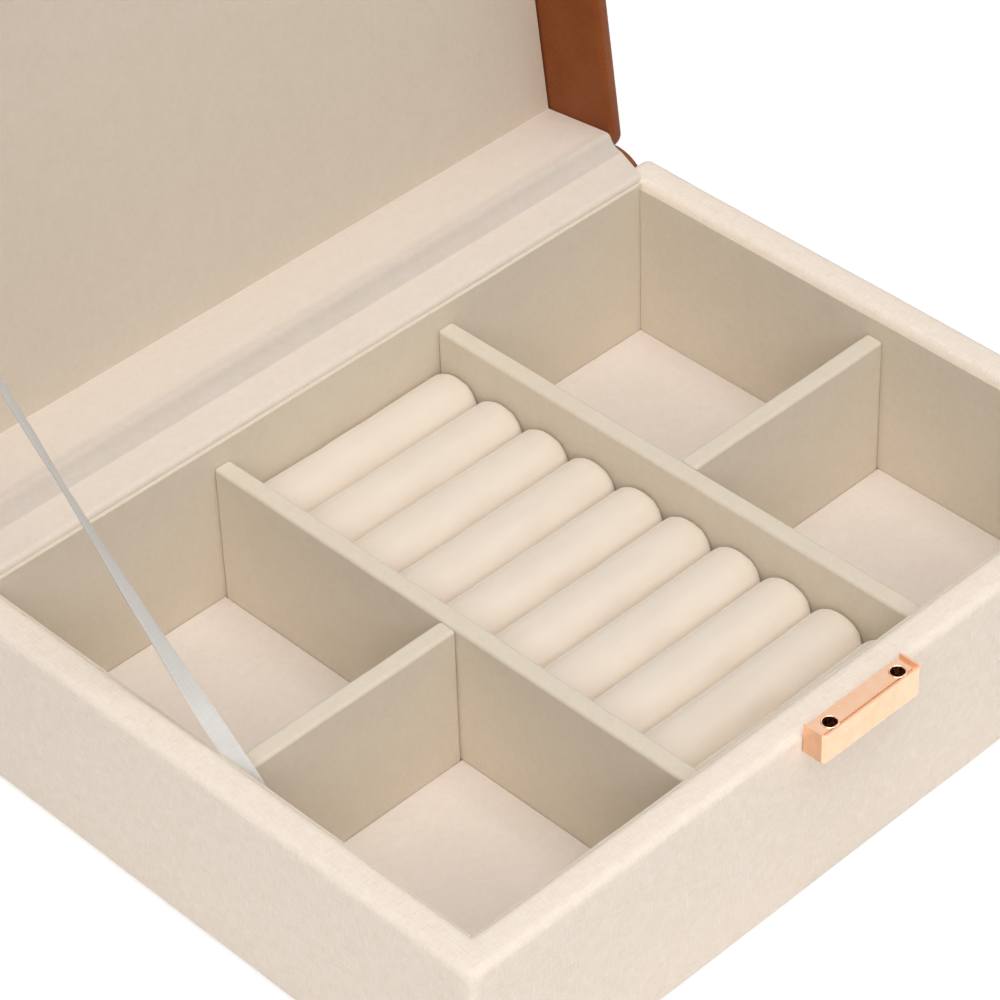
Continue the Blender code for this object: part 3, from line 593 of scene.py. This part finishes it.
def roll_form(low, high):
    """One foam roll: upright sides, a round top and domed ends."""
    low = Vector(low) + Vector((ROLL_SQUEEZE, ROLL_SQUEEZE, 0))
    high = Vector(high) - Vector((ROLL_SQUEEZE, ROLL_SQUEEZE, ROLL_SQUEEZE))
    bm = block(low, high)

    def along_top(edge):
        ends = [vert.co for vert in edge.verts]
        return all(p.z > high.z - MM / 10 for p in ends) and abs(ends[0].x - ends[1].x) > MM

    round_over(bm, [edge for edge in bm.edges if along_top(edge)], (high.y - low.y) * ROLL_TOP_SHARE, 8)

    def round_end(edge):
        ends = [vert.co for vert in edge.verts]
        at_end = any(all(abs(p.x - end) < MM / 10 for p in ends) for end in (low.x, high.x))
        return at_end and max(p.z for p in ends) > low.z + MM

    round_over(bm, [edge for edge in bm.edges if round_end(edge)], ROLL_END_RADIUS, 6)
    return bm


def build_rolls():
    for name in ROLL_NAMES:
        low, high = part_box(name)
        low.y -= ROLL_PRESS
        high.y += ROLL_PRESS
        bm = roll_form(low, high)
        obj = make_piece("velvet_" + name, bm, [velvet], None, [name], 180)
        swell(obj, low, high)
        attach(obj, "base")


def swell(obj, low, high):
    """Blows the velvet up over its foam with Cloth, inside the room between its neighbours."""
    remesh = obj.modifiers.new("remesh", "REMESH")
    remesh.mode = "VOXEL"
    remesh.voxel_size = ROLL_VOXEL
    remesh.use_smooth_shade = True
    keep_shape(obj)
    start = np.array([vert.co for vert in obj.data.vertices])
    cloth = obj.modifiers.new("cloth", "CLOTH")
    cloth.settings.use_pressure = True
    cloth.settings.uniform_pressure_force = ROLL_PRESSURE
    cloth.settings.effector_weights.gravity = 0
    scene = bpy.context.scene
    for number in range(1, ROLL_FRAMES + 1):
        scene.frame_set(number)
    keep_shape(obj)
    scene.frame_set(1)
    moved = np.array([vert.co for vert in obj.data.vertices]) - start
    length = np.linalg.norm(moved, axis=1, keepdims=True)
    moved *= np.minimum(1, ROLL_SWELL_CAP / np.maximum(length, MM / 1000))
    settled = np.clip(start + moved, np.array(low), np.array(high))
    obj.data.vertices.foreach_set("co", settled.ravel())
    finer = obj.modifiers.new("finer", "SUBSURF")
    finer.levels = 1
    finer.render_levels = 1


def keep_shape(obj):
    """Applies the piece's modifiers to its mesh."""
    bpy.context.view_layer.update()
    shaped = obj.evaluated_get(bpy.context.evaluated_depsgraph_get())
    mesh = bpy.data.meshes.new_from_object(shaped)
    obj.modifiers.clear()
    obj.data = mesh


# Lid

LEATHER_THICKNESS = 0.7 * MM
LID_OUTER_RADIUS = 3.0 * MM
LID_RIM_RADIUS = 1.5 * MM
LID_SPACING = (8 * MM, 8 * MM, 7 * MM)
LID_WAVER = 0.08 * MM
LID_WAVER_GRAIN = 25 * MM
# The gap round the lining panel, which the panel's suede then fills
PANEL_GAP = 0.3 * MM
PANEL_SWELL = 0.3 * MM
PANEL_EDGE_RADIUS = 0.6 * MM
PANEL_SPACING = 9 * MM
PANEL_WAVER = 0.10 * MM
PANEL_WAVER_GRAIN = 30 * MM


def build_lid_cover():
    """Leather over the lid's top and sides, round the rim and up the inside to the lining panel."""
    low, high = closed_box("lid_leather_cover")
    panel_low, panel_high = closed_box("lid_lining_panel")
    opening_x = panel_high.x + PANEL_GAP
    opening_front = panel_low.y - PANEL_GAP
    opening_back = panel_high.y + PANEL_GAP
    bm = block(low, high)
    rim_face = next(face for face in bm.faces if face.normal.z < -0.5)
    bmesh.ops.inset_region(bm, faces=[rim_face], thickness=MM)
    for vert in rim_face.verts:
        vert.co.x = math.copysign(opening_x, vert.co.x)
        vert.co.y = opening_back if vert.co.y > 0 else opening_front
    inner_edges = list(rim_face.edges)
    bmesh.ops.delete(bm, geom=[rim_face], context="FACES_ONLY")
    pulled = bmesh.ops.extrude_edge_only(bm, edges=inner_edges)["geom"]
    turned_in = [part for part in pulled if isinstance(part, bmesh.types.BMVert)]
    bmesh.ops.translate(bm, verts=turned_in, vec=(0, 0, panel_high.z - low.z))

    def outer(edge):
        ends = [vert.co for vert in edge.verts]
        upright = abs(ends[0].z - ends[1].z) > MM
        at_x = all(abs(p.x) > high.x - MM / 10 for p in ends)
        at_y = all(abs(p.y) > high.y - MM / 10 for p in ends)
        at_top = all(p.z > high.z - MM / 10 for p in ends)
        return (upright and at_x and at_y) or (at_top and (at_x or at_y))

    round_over(bm, [edge for edge in bm.edges if outer(edge)], LID_OUTER_RADIUS, 8)

    def rim(edge):
        ends = [vert.co for vert in edge.verts]
        level = all(abs(p.z - low.z) < MM / 10 for p in ends)
        return level and edge.calc_face_angle(0) > math.pi / 4

    round_over(bm, [edge for edge in bm.edges if rim(edge)], LID_RIM_RADIUS, 6)
    for axis, spacing in enumerate(LID_SPACING):
        slice_evenly(bm, axis, spacing)
    bmesh.ops.recalc_face_normals(bm, faces=bm.faces)
    outside = max(bm.faces, key=lambda face: face.calc_center_median().x)
    if outside.normal.x < 0:
        bmesh.ops.reverse_faces(bm, faces=bm.faces)
    waver(bm, LID_WAVER, LID_WAVER_GRAIN)
    bmesh.ops.transform(bm, matrix=to_open, verts=bm.verts)
    obj = make_piece("leather_cover", bm, [leather], "lid", ["lid_leather_cover"], 60)
    shell = obj.modifiers.new("sheet", "SOLIDIFY")
    shell.thickness = LEATHER_THICKNESS
    shell.offset = -1
    shell.use_even_offset = True


def build_lid_panel():
    """The suede covered panel inside the lid, softly edged."""
    low, high = closed_box("lid_lining_panel")
    swell = Vector((PANEL_SWELL,) * 3)
    bm = block(low - swell, high + swell)
    round_over(bm, list(bm.edges), PANEL_EDGE_RADIUS, 4)
    for axis in (0, 1):
        slice_evenly(bm, axis, PANEL_SPACING)
    waver(bm, PANEL_WAVER, PANEL_WAVER_GRAIN)
    bmesh.ops.transform(bm, matrix=to_open, verts=bm.verts)
    name = "lid_lining_panel"
    obj = make_piece("suede_lid_panel", bm, [panel_suede_painted_shade], "lid", [name])
    even_shading(obj)


# Hinge


def lid_point(y, z):
    """A point (y, z) of the closed lid, opened."""
    place = to_open @ Vector((0, y, z))
    return place.y, place.z


BAND_SPACING = 8 * MM


def draw_band(path, halves):
    """A sheet along a cross-section path (y, z), with its half width at each point from halves."""
    bm = bmesh.new()
    line = [bm.verts.new((-half, y, z)) for (y, z), half in zip(path, halves)]
    edges = [bm.edges.new(pair) for pair in zip(line, line[1:])]
    pulled = bmesh.ops.extrude_edge_only(bm, edges=edges)["geom"]
    for vert in pulled:
        if isinstance(vert, bmesh.types.BMVert):
            vert.co.x = -vert.co.x
    slice_evenly(bm, 0, BAND_SPACING)
    bmesh.ops.recalc_face_normals(bm, faces=bm.faces)
    if sum(face.normal.z for face in bm.faces) < 0:
        bmesh.ops.reverse_faces(bm, faces=bm.faces)
    return bm


CORNER_STEPS = 5


def rounded_path(corners, radii):
    """A path with its corners eased: each corner is replaced by a short curve."""
    path = [corners[0]]
    for before, corner, after, radius in zip(corners, corners[1:], corners[2:], radii):
        before, corner, after = Vector(before), Vector(corner), Vector(after)
        first = corner + (before - corner).normalized() * radius
        last = corner + (after - corner).normalized() * radius
        for step in range(CORNER_STEPS + 1):
            share = step / CORNER_STEPS
            bent = first * (1 - share) ** 2 + corner * 2 * share * (1 - share) + last * share**2
            path.append(tuple(bent))
    path.append(corners[-1])
    return path


COVER_THICKNESS = 0.4 * MM
# Its ends are cut on a slant, from the box's inner corners to the lid's walls. These are its half
# widths at the back lining, at the crease, and from COVER_SLANT_END behind the crease on.
COVER_HALF_WIDTHS = (110.4 * MM, 114.2 * MM, 114.0 * MM)
COVER_SLANT_END = 4 * MM
# How far its middle line lies behind the back lining, over the linen's rim and off the lid's wall
COVER_BEHIND_LINING = 0.3 * MM
COVER_OVER_RIM = 0.55 * MM
COVER_OFF_WALL = 0.1 * MM
# How far it is tucked down behind the lining, and where its lip and its end lie beside the lid's panel
COVER_TUCK = 6 * MM
COVER_LIP_DEPTH = 22.8 * MM
COVER_PAST_PANEL = MM
# The bends of its fold, as distances behind the crease and over the rim
COVER_BENDS = ((2.0 * MM, 0.6 * MM), (3.4 * MM, 1.9 * MM))
# How far from each corner of its section the rounding starts
COVER_RADII = (1.3 * MM, 0.3 * MM, 0.9 * MM, 0.9 * MM, 1.2 * MM)


def build_hinge_cover():
    """Suede from behind the back lining, over the rim and the fold, and up the lid's back wall."""
    lining_high = card_corners("back_lining")[1]
    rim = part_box("linen_wrap")[1]
    panel_low, panel_high = closed_box("lid_lining_panel")
    behind = lining_high.y + COVER_BEHIND_LINING
    on_rim = rim.z + COVER_OVER_RIM
    wall = panel_high.y + COVER_OFF_WALL
    bends = [(COVER_CREASE + back, on_rim + rise) for back, rise in COVER_BENDS]
    corners = [
        (behind, lining_high.z - COVER_TUCK),
        (behind, on_rim),
        (COVER_CREASE, on_rim),
        *bends,
        lid_point(wall, panel_low.z - COVER_LIP_DEPTH),
        lid_point(wall, panel_low.z + COVER_PAST_PANEL),
    ]
    path = rounded_path(corners, COVER_RADII)
    places = [behind, COVER_CREASE, COVER_CREASE + COVER_SLANT_END]
    bm = draw_band(path, [float(np.interp(y, places, COVER_HALF_WIDTHS)) for y, z in path])
    cloth = bm.loops.layers.uv.new("cloth")
    for face in bm.faces:
        for loop in face.loops:
            loop[cloth].uv = (loop.vert.co.x, loop.vert.co.y)
    nodes = ["hinge_cover_base", "hinge_cover_fold", "hinge_cover_lid"]
    obj = make_piece("suede_hinge_cover", bm, [cover_suede_painted_light_shade], None, nodes, 180)
    sheet = obj.modifiers.new("sheet", "SOLIDIFY")
    sheet.thickness = COVER_THICKNESS
    sheet.offset = 0
    even_shading(obj)
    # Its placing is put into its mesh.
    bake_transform(obj)


STRIP_THICKNESS = 1.0 * MM
# The strip's ends stop this far short of the solid's.
STRIP_INSET = 0.2 * MM
# How strongly its fold follows the base's back and the lid's back, as a curve's two pulls
STRIP_PULLS = (3.2 * MM, 4.5 * MM)
STRIP_STEPS = 12


def build_hinge_strip():
    """Leather outside: glued to the base's back and to the lid's back, with a loose fold between."""
    base_low, base_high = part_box("hinge_strip_base")
    lid_low, lid_high = closed_box("hinge_strip_lid")
    middle = (base_low.y + base_high.y) / 2
    lid_middle = (lid_low.y + lid_high.y) / 2
    start, end = Vector((middle, base_high.z)), Vector(lid_point(lid_middle, lid_low.z))
    first_pull = start + Vector((0, STRIP_PULLS[0]))
    last_pull = Vector(lid_point(lid_middle, lid_low.z - STRIP_PULLS[1]))
    path = [(middle, base_low.z)]
    for step in range(STRIP_STEPS + 1):
        share = step / STRIP_STEPS
        rest = 1 - share
        bent = start * rest**3 + first_pull * 3 * rest**2 * share + last_pull * 3 * rest * share**2
        path.append(tuple(bent + end * share**3))
    path.append(lid_point(lid_middle, lid_high.z))
    half = base_high.x - STRIP_INSET
    bm = draw_band(path, [half] * len(path))
    bmesh.ops.reverse_faces(bm, faces=bm.faces)
    nodes = ["hinge_strip_base", "hinge_strip_fold", "hinge_strip_lid"]
    obj = make_piece("leather_hinge_strip", bm, [leather], None, nodes, 180)
    sheet = obj.modifiers.new("sheet", "SOLIDIFY")
    sheet.thickness = STRIP_THICKNESS
    sheet.offset = 0
    even_shading(obj)
    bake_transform(obj)


# Stay ribbon

RIBBON_WIDTH = 4.6 * MM
RIBBON_THICKNESS = 0.25 * MM
RIBBON_STEPS = 64
RIBBON_BASE_END = Vector((-108.1 * MM, -18.9 * MM, 40.0 * MM))
RIBBON_LID_END = Vector((-113.6 * MM, 117.5 * MM, 178.0 * MM))
# How far the two inner points of its curve lie from the straight line between its ends
RIBBON_BASE_SAG = Vector((8.0 * MM, 17.2 * MM, -15.2 * MM))
RIBBON_LID_SAG = Vector((3.0 * MM, -0.5 * MM, -0.9 * MM))
# Half a turn about its own line on its way: degrees at shares of its length
RIBBON_TURNS = (
    (0, 0), (0.08, 64), (0.14, 66), (0.17, 78), (0.20, 94), (0.23, 102), (0.26, 112), (0.32, 118),
    (0.38, 130), (0.47, 140), (0.53, 132), (0.62, 134), (1, 180),
)


def build_ribbon():
    """Satin ribbon from the left wall's inner side to the lid, with a little slack, turning on its way."""
    base_end, lid_end = RIBBON_BASE_END, RIBBON_LID_END
    run = lid_end - base_end
    first_pull = base_end + run / 3 + RIBBON_BASE_SAG
    last_pull = lid_end - run / 3 + RIBBON_LID_SAG
    places, turns = zip(*RIBBON_TURNS)

    def line(share):
        rest = 1 - share
        near = base_end * rest**3 + first_pull * 3 * rest**2 * share
        return near + last_pull * 3 * rest * share**2 + lid_end * share**3

    bm = bmesh.new()
    bmesh.ops.create_grid(bm, x_segments=4, y_segments=RIBBON_STEPS, size=0.5)
    cloth = bm.loops.layers.uv.new("cloth")
    for face in bm.faces:
        for loop in face.loops:
            place = loop.vert.co
            loop[cloth].uv = (place.x * RIBBON_WIDTH, place.y * run.length)
    for vert in bm.verts:
        share = vert.co.y + 0.5
        along = (line(share + 0.001) - line(share - 0.001)).normalized()
        across = along.cross(Vector((1, 0, 0))).normalized()
        turn = Matrix.Rotation(math.radians(float(np.interp(share, places, turns))), 3, along)
        sideways = turn @ across * RIBBON_WIDTH * vert.co.x
        vert.co = line(share) + sideways
    obj = make_piece("satin_stay_ribbon", bm, [satin], None, ["stay_ribbon"], 180)
    sheet = obj.modifiers.new("sheet", "SOLIDIFY")
    sheet.thickness = RIBBON_THICKNESS
    sheet.offset = 0
    even_shading(obj)
    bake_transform(obj)


# Clasp

CLASP_LIP = 0.5 * MM
CLASP_RECESS = 0.9 * MM
CLASP_CHANNEL = 1.1 * MM
CLASP_CHANNEL_DEPTH = 0.4 * MM
CLASP_REACH_LEFT = 0.6 * MM
CLASP_EDGE_RADIUS = 1.2 * MM
CLASP_FINE_EDGE = 0.12 * MM
# The hole for a ferrule, and how far it goes below the ferrule's foot
FERRULE_HOLE = 2.04 * MM
FERRULE_HOLE_ROOM = 0.2 * MM
FERRULE_FLOOR = 0.8 * MM
FERRULE_RISE = 0.2 * MM
FERRULE_RADIUS = 1.90 * MM
BORE_RADIUS = 1.66 * MM
# Faces nearer to the middle than this are the bore's.
BORE_REACH = 1.69 * MM
# Over the lip of the bore and round the flange, as (radius, depth under the top) in mm
FERRULE_FLANGE = ((1.70, 0.35), (1.80, 0.08), (1.94, 0), (2.09, 0.08), (2.16, 0.30), (1.90, 0.40))
HOLE_STEPS = 40
LID_BAR_RADIUS = 0.6 * MM
# A pin's rounded tip, as (share of its radius, height over its end in mm)
PIN_TIP = ((1, 0.9), (0.92, 0.45), (0.7, 0.12), (0.4, 0))


def build_clasp_bar():
    """Gold bar: a recessed top with a lip and a channel along the front, and a ferrule near each end."""
    low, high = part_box("clasp_bar")
    low.x -= CLASP_REACH_LEFT
    recess = high.z - CLASP_RECESS
    bm = block(low, (high.x, high.y, recess))

    def outer(edge):
        ends = [vert.co for vert in edge.verts]
        at_back = all(p.y > high.y - MM / 10 for p in ends)
        at_top = all(p.z > recess - MM / 10 for p in ends)
        return not at_back and not at_top

    round_over(bm, [edge for edge in bm.edges if outer(edge)], CLASP_EDGE_RADIUS, 6)
    lip_lines = (
        ((low.x + CLASP_LIP, 0, 0), (1, 0, 0)),
        ((high.x - CLASP_LIP, 0, 0), (1, 0, 0)),
        ((0, low.y + CLASP_LIP, 0), (0, 1, 0)),
        ((0, low.y + CLASP_LIP + CLASP_CHANNEL, 0), (0, 1, 0)),
    )
    for place, across in lip_lines:
        everything = bm.verts[:] + bm.edges[:] + bm.faces[:]
        bmesh.ops.bisect_plane(bm, geom=everything, dist=MM / 1000, plane_co=place, plane_no=across)
    top_faces = [face for face in bm.faces if face.calc_center_median().z > recess - MM / 100]
    floor_face = max(top_faces, key=lambda face: face.calc_area())
    inside = high.x - CLASP_LIP
    channel_line = low.y + CLASP_LIP + CLASP_CHANNEL / 2
    channel = min(
        (face for face in top_faces if low.x + CLASP_LIP < face.calc_center_median().x < inside),
        key=lambda face: abs(face.calc_center_median().y - channel_line),
    )
    lips = [face for face in top_faces if face not in (floor_face, channel)]
    raised_lips = bmesh.ops.extrude_face_region(bm, geom=lips)["geom"]
    old_lips = [face for face in lips if face.is_valid]
    bmesh.ops.delete(bm, geom=old_lips, context="FACES_ONLY")
    lip_tops = [part for part in raised_lips if isinstance(part, bmesh.types.BMVert)]
    bmesh.ops.translate(bm, verts=lip_tops, vec=(0, 0, CLASP_RECESS))
    sunk = bmesh.ops.extrude_face_region(bm, geom=[channel])["geom"]
    bmesh.ops.delete(bm, geom=[face for face in [channel] if face.is_valid], context="FACES_ONLY")
    channel_floor = [part for part in sunk if isinstance(part, bmesh.types.BMVert)]
    bmesh.ops.translate(bm, verts=channel_floor, vec=(0, 0, -CLASP_CHANNEL_DEPTH))
    rim_edges = list(floor_face.edges)
    bmesh.ops.delete(bm, geom=[floor_face], context="FACES_ONLY")
    for side in ("left", "right"):
        socket_low, socket_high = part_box("clasp_socket_" + side)
        middle = (socket_low + socket_high) / 2
        middle.z = recess
        ring = bmesh.ops.create_circle(
            bm, segments=HOLE_STEPS, radius=FERRULE_HOLE, matrix=Matrix.Translation(middle)
        )["verts"]
        ring_edges = list({edge for vert in ring for edge in vert.link_edges})
        rim_edges += ring_edges
        pulled = bmesh.ops.extrude_edge_only(bm, edges=ring_edges)["geom"]
        foot = [part for part in pulled if isinstance(part, bmesh.types.BMVert)]
        hole_floor = socket_low.z - FERRULE_HOLE_ROOM
        bmesh.ops.translate(bm, verts=foot, vec=(0, 0, hole_floor - middle.z))
        foot_edges = [part for part in pulled if isinstance(part, bmesh.types.BMEdge)]
        foot_edges = [edge for edge in foot_edges if all(vert in foot for vert in edge.verts)]
        bmesh.ops.edgeloop_fill(bm, edges=foot_edges)
    bmesh.ops.triangle_fill(bm, use_beauty=True, edges=rim_edges)
    bmesh.ops.recalc_face_normals(bm, faces=bm.faces)
    obj = make_piece("gold_clasp_bar", bm, [gold], "base", ["clasp_bar"], 35)
    crisp = obj.modifiers.new("crisp", "BEVEL")
    crisp.width = CLASP_FINE_EDGE
    crisp.segments = 2
    crisp.limit_method = "ANGLE"
    crisp.angle_limit = math.radians(40)
    even_shading(obj)
    for side in ("left", "right"):
        build_ferrule(side, recess)


def build_ferrule(side, recess):
    """A turned ferrule, low over the recess: a thin rolled flange round a brown bore, darkened as painted
    shade.
    """
    low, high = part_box("clasp_socket_" + side)
    middle = (low + high) / 2
    top = recess + FERRULE_RISE
    bore_floor = low.z + FERRULE_FLOOR
    profile = [
        (0, bore_floor),
        (BORE_RADIUS, bore_floor),
        *((radius * MM, top - depth * MM) for radius, depth in FERRULE_FLANGE),
        (FERRULE_RADIUS, low.z),
        (0, low.z),
    ]
    bm = lathe(profile, middle.x, middle.y)
    for face in bm.faces:
        place = face.calc_center_median()
        reach = math.hypot(place.x - middle.x, place.y - middle.y)
        # The bore's faces take the brown brass with its painted shade and painted glints.
        face.material_index = 1 if reach < BORE_REACH and place.z > bore_floor - MM / 10 else 0
    name = "clasp_socket_" + side
    obj = make_piece("gold_ferrule_" + side, bm, [gold, bore], "base", [name], 35)
    even_shading(obj)


def lathe(profile, x, y):
    """Spins a (radius, height) profile round an upright line at (x, y)."""
    bm = bmesh.new()
    line = [bm.verts.new((x + radius, y, height)) for radius, height in profile]
    edges = [bm.edges.new(pair) for pair in zip(line, line[1:])]
    bmesh.ops.spin(
        bm, geom=line + edges, cent=(x, y, 0), axis=(0, 0, 1), angle=2 * math.pi, steps=HOLE_STEPS,
        use_merge=True,
    )
    bmesh.ops.remove_doubles(bm, verts=bm.verts, dist=MM / 1000)
    bmesh.ops.recalc_face_normals(bm, faces=bm.faces)
    return bm


def build_lid_clasp():
    """The lid's bar and its two pins."""
    low, high = closed_box("lid_clasp_bar")
    bm = block(low, high)
    round_over(bm, list(bm.edges), LID_BAR_RADIUS, 4)
    bmesh.ops.transform(bm, matrix=to_open, verts=bm.verts)
    name = "lid_clasp_bar"
    even_shading(make_piece("gold_lid_clasp_bar", bm, [gold], "lid", [name], 35))
    for side in ("left", "right"):
        pin_low, pin_high = closed_box("lid_clasp_pin_" + side)
        middle = (pin_low + pin_high) / 2
        radius = (pin_high.x - pin_low.x) / 2
        profile = [
            (0, pin_high.z),
            (radius, pin_high.z),
            *((radius * share, pin_low.z + rise * MM) for share, rise in PIN_TIP),
            (0, pin_low.z),
        ]
        bm = lathe(profile, middle.x, middle.y)
        bmesh.ops.transform(bm, matrix=to_open, verts=bm.verts)
        name = "lid_clasp_pin_" + side
        even_shading(make_piece("gold_lid_pin_" + side, bm, [gold], "lid", [name], 35))


# What stays as the part draws it

KEPT_FINISHES = {
    "board": greyboard,
    "underside_cover": paper,
    "screw": zinc,
}


def finish_kept_nodes():
    for name, obj in frame["nodes"].items():
        for word, material in KEPT_FINISHES.items():
            if word in name:
                obj.data.materials.clear()
                obj.data.materials.append(material)


# Stage


def unseen_by_light(tree):
    """1 where the camera, a reflection or glass looks, and 0 for the light on the box."""
    path = add_node(tree, "ShaderNodeLightPath").outputs
    seen = summed(tree, path["Is Camera Ray"], path["Is Glossy Ray"], "MAXIMUM")
    return summed(tree, seen, path["Is Transmission Ray"], "MAXIMUM")


def build_stage():
    world = bpy.data.worlds.new("white_studio")
    bpy.context.scene.world = world
    world.use_nodes = True
    tree = world.node_tree
    background = tree.nodes["Background"]
    background.inputs["Color"].default_value = (1, 1, 1, 1)
    strength = ranged(tree, unseen_by_light(tree), 0.0, 1.0, SKY_STRENGTH, 1.0)
    tree.links.new(strength, background.inputs["Strength"])

    bm = bmesh.new()
    bmesh.ops.create_grid(bm, x_segments=1, y_segments=1, size=FLOOR_SIZE / 2)
    bmesh.ops.translate(bm, verts=bm.verts, vec=(0, 0, -FLOOR_DROP))
    mesh = bpy.data.meshes.new("studio_floor")
    bm.to_mesh(mesh)
    bm.free()
    floor = bpy.data.objects.new("studio_floor", mesh)
    bpy.context.scene.collection.objects.link(floor)
    material = bpy.data.materials.new("floor_matt_white")
    material.use_nodes = True
    tree = material.node_tree
    tree.nodes.clear()
    diffuse = add_node(tree, "ShaderNodeBsdfDiffuse", {"Color": (0.85, 0.85, 0.85, 1)})
    glow = summed(tree, unseen_by_light(tree), FLOOR_GLOW, "MULTIPLY")
    emission = add_node(tree, "ShaderNodeEmission", {"Color": (1, 1, 1, 1), "Strength": glow})
    both = add_node(tree, "ShaderNodeAddShader", {0: diffuse.outputs[0], 1: emission.outputs[0]})
    add_node(tree, "ShaderNodeOutputMaterial", {"Surface": both.outputs[0]})
    mesh.materials.append(material)

    for name, place, size, watts in LAMPS:
        data = bpy.data.lights.new(name, "AREA")
        data.shape = "SQUARE"
        data.size = size
        data.energy = watts
        lamp = bpy.data.objects.new(name, data)
        lamp.location = place
        lamp.rotation_euler = (-Vector(place)).to_track_quat("-Z", "Y").to_euler()
        bpy.context.scene.collection.objects.link(lamp)


def build_camera():
    data = bpy.data.cameras.new("photo_camera")
    data.sensor_width = SENSOR_WIDTH
    data.lens = CAMERA_LENS
    camera = bpy.data.objects.new("photo_camera", data)
    turn = Matrix.Rotation(CAMERA_AZIMUTH, 4, "Z")
    tilt = Matrix.Rotation(math.pi / 2 - CAMERA_ELEVATION, 4, "X")
    roll = Matrix.Rotation(CAMERA_ROLL, 4, "Z")
    camera.matrix_world = Matrix.Translation(CAMERA_PLACE) @ turn @ tilt @ roll
    bpy.context.scene.collection.objects.link(camera)
    bpy.context.scene.camera = camera


build_camera()
build_stage()
build_linen_cover()
build_cards()
build_bottom_board()
build_rolls()
build_lid_cover()
build_lid_panel()
build_hinge_cover()
build_hinge_strip()
build_ribbon()
build_clasp_bar()
build_lid_clasp()
finish_kept_nodes()
bpy.context.scene.view_settings.view_transform = "Standard"
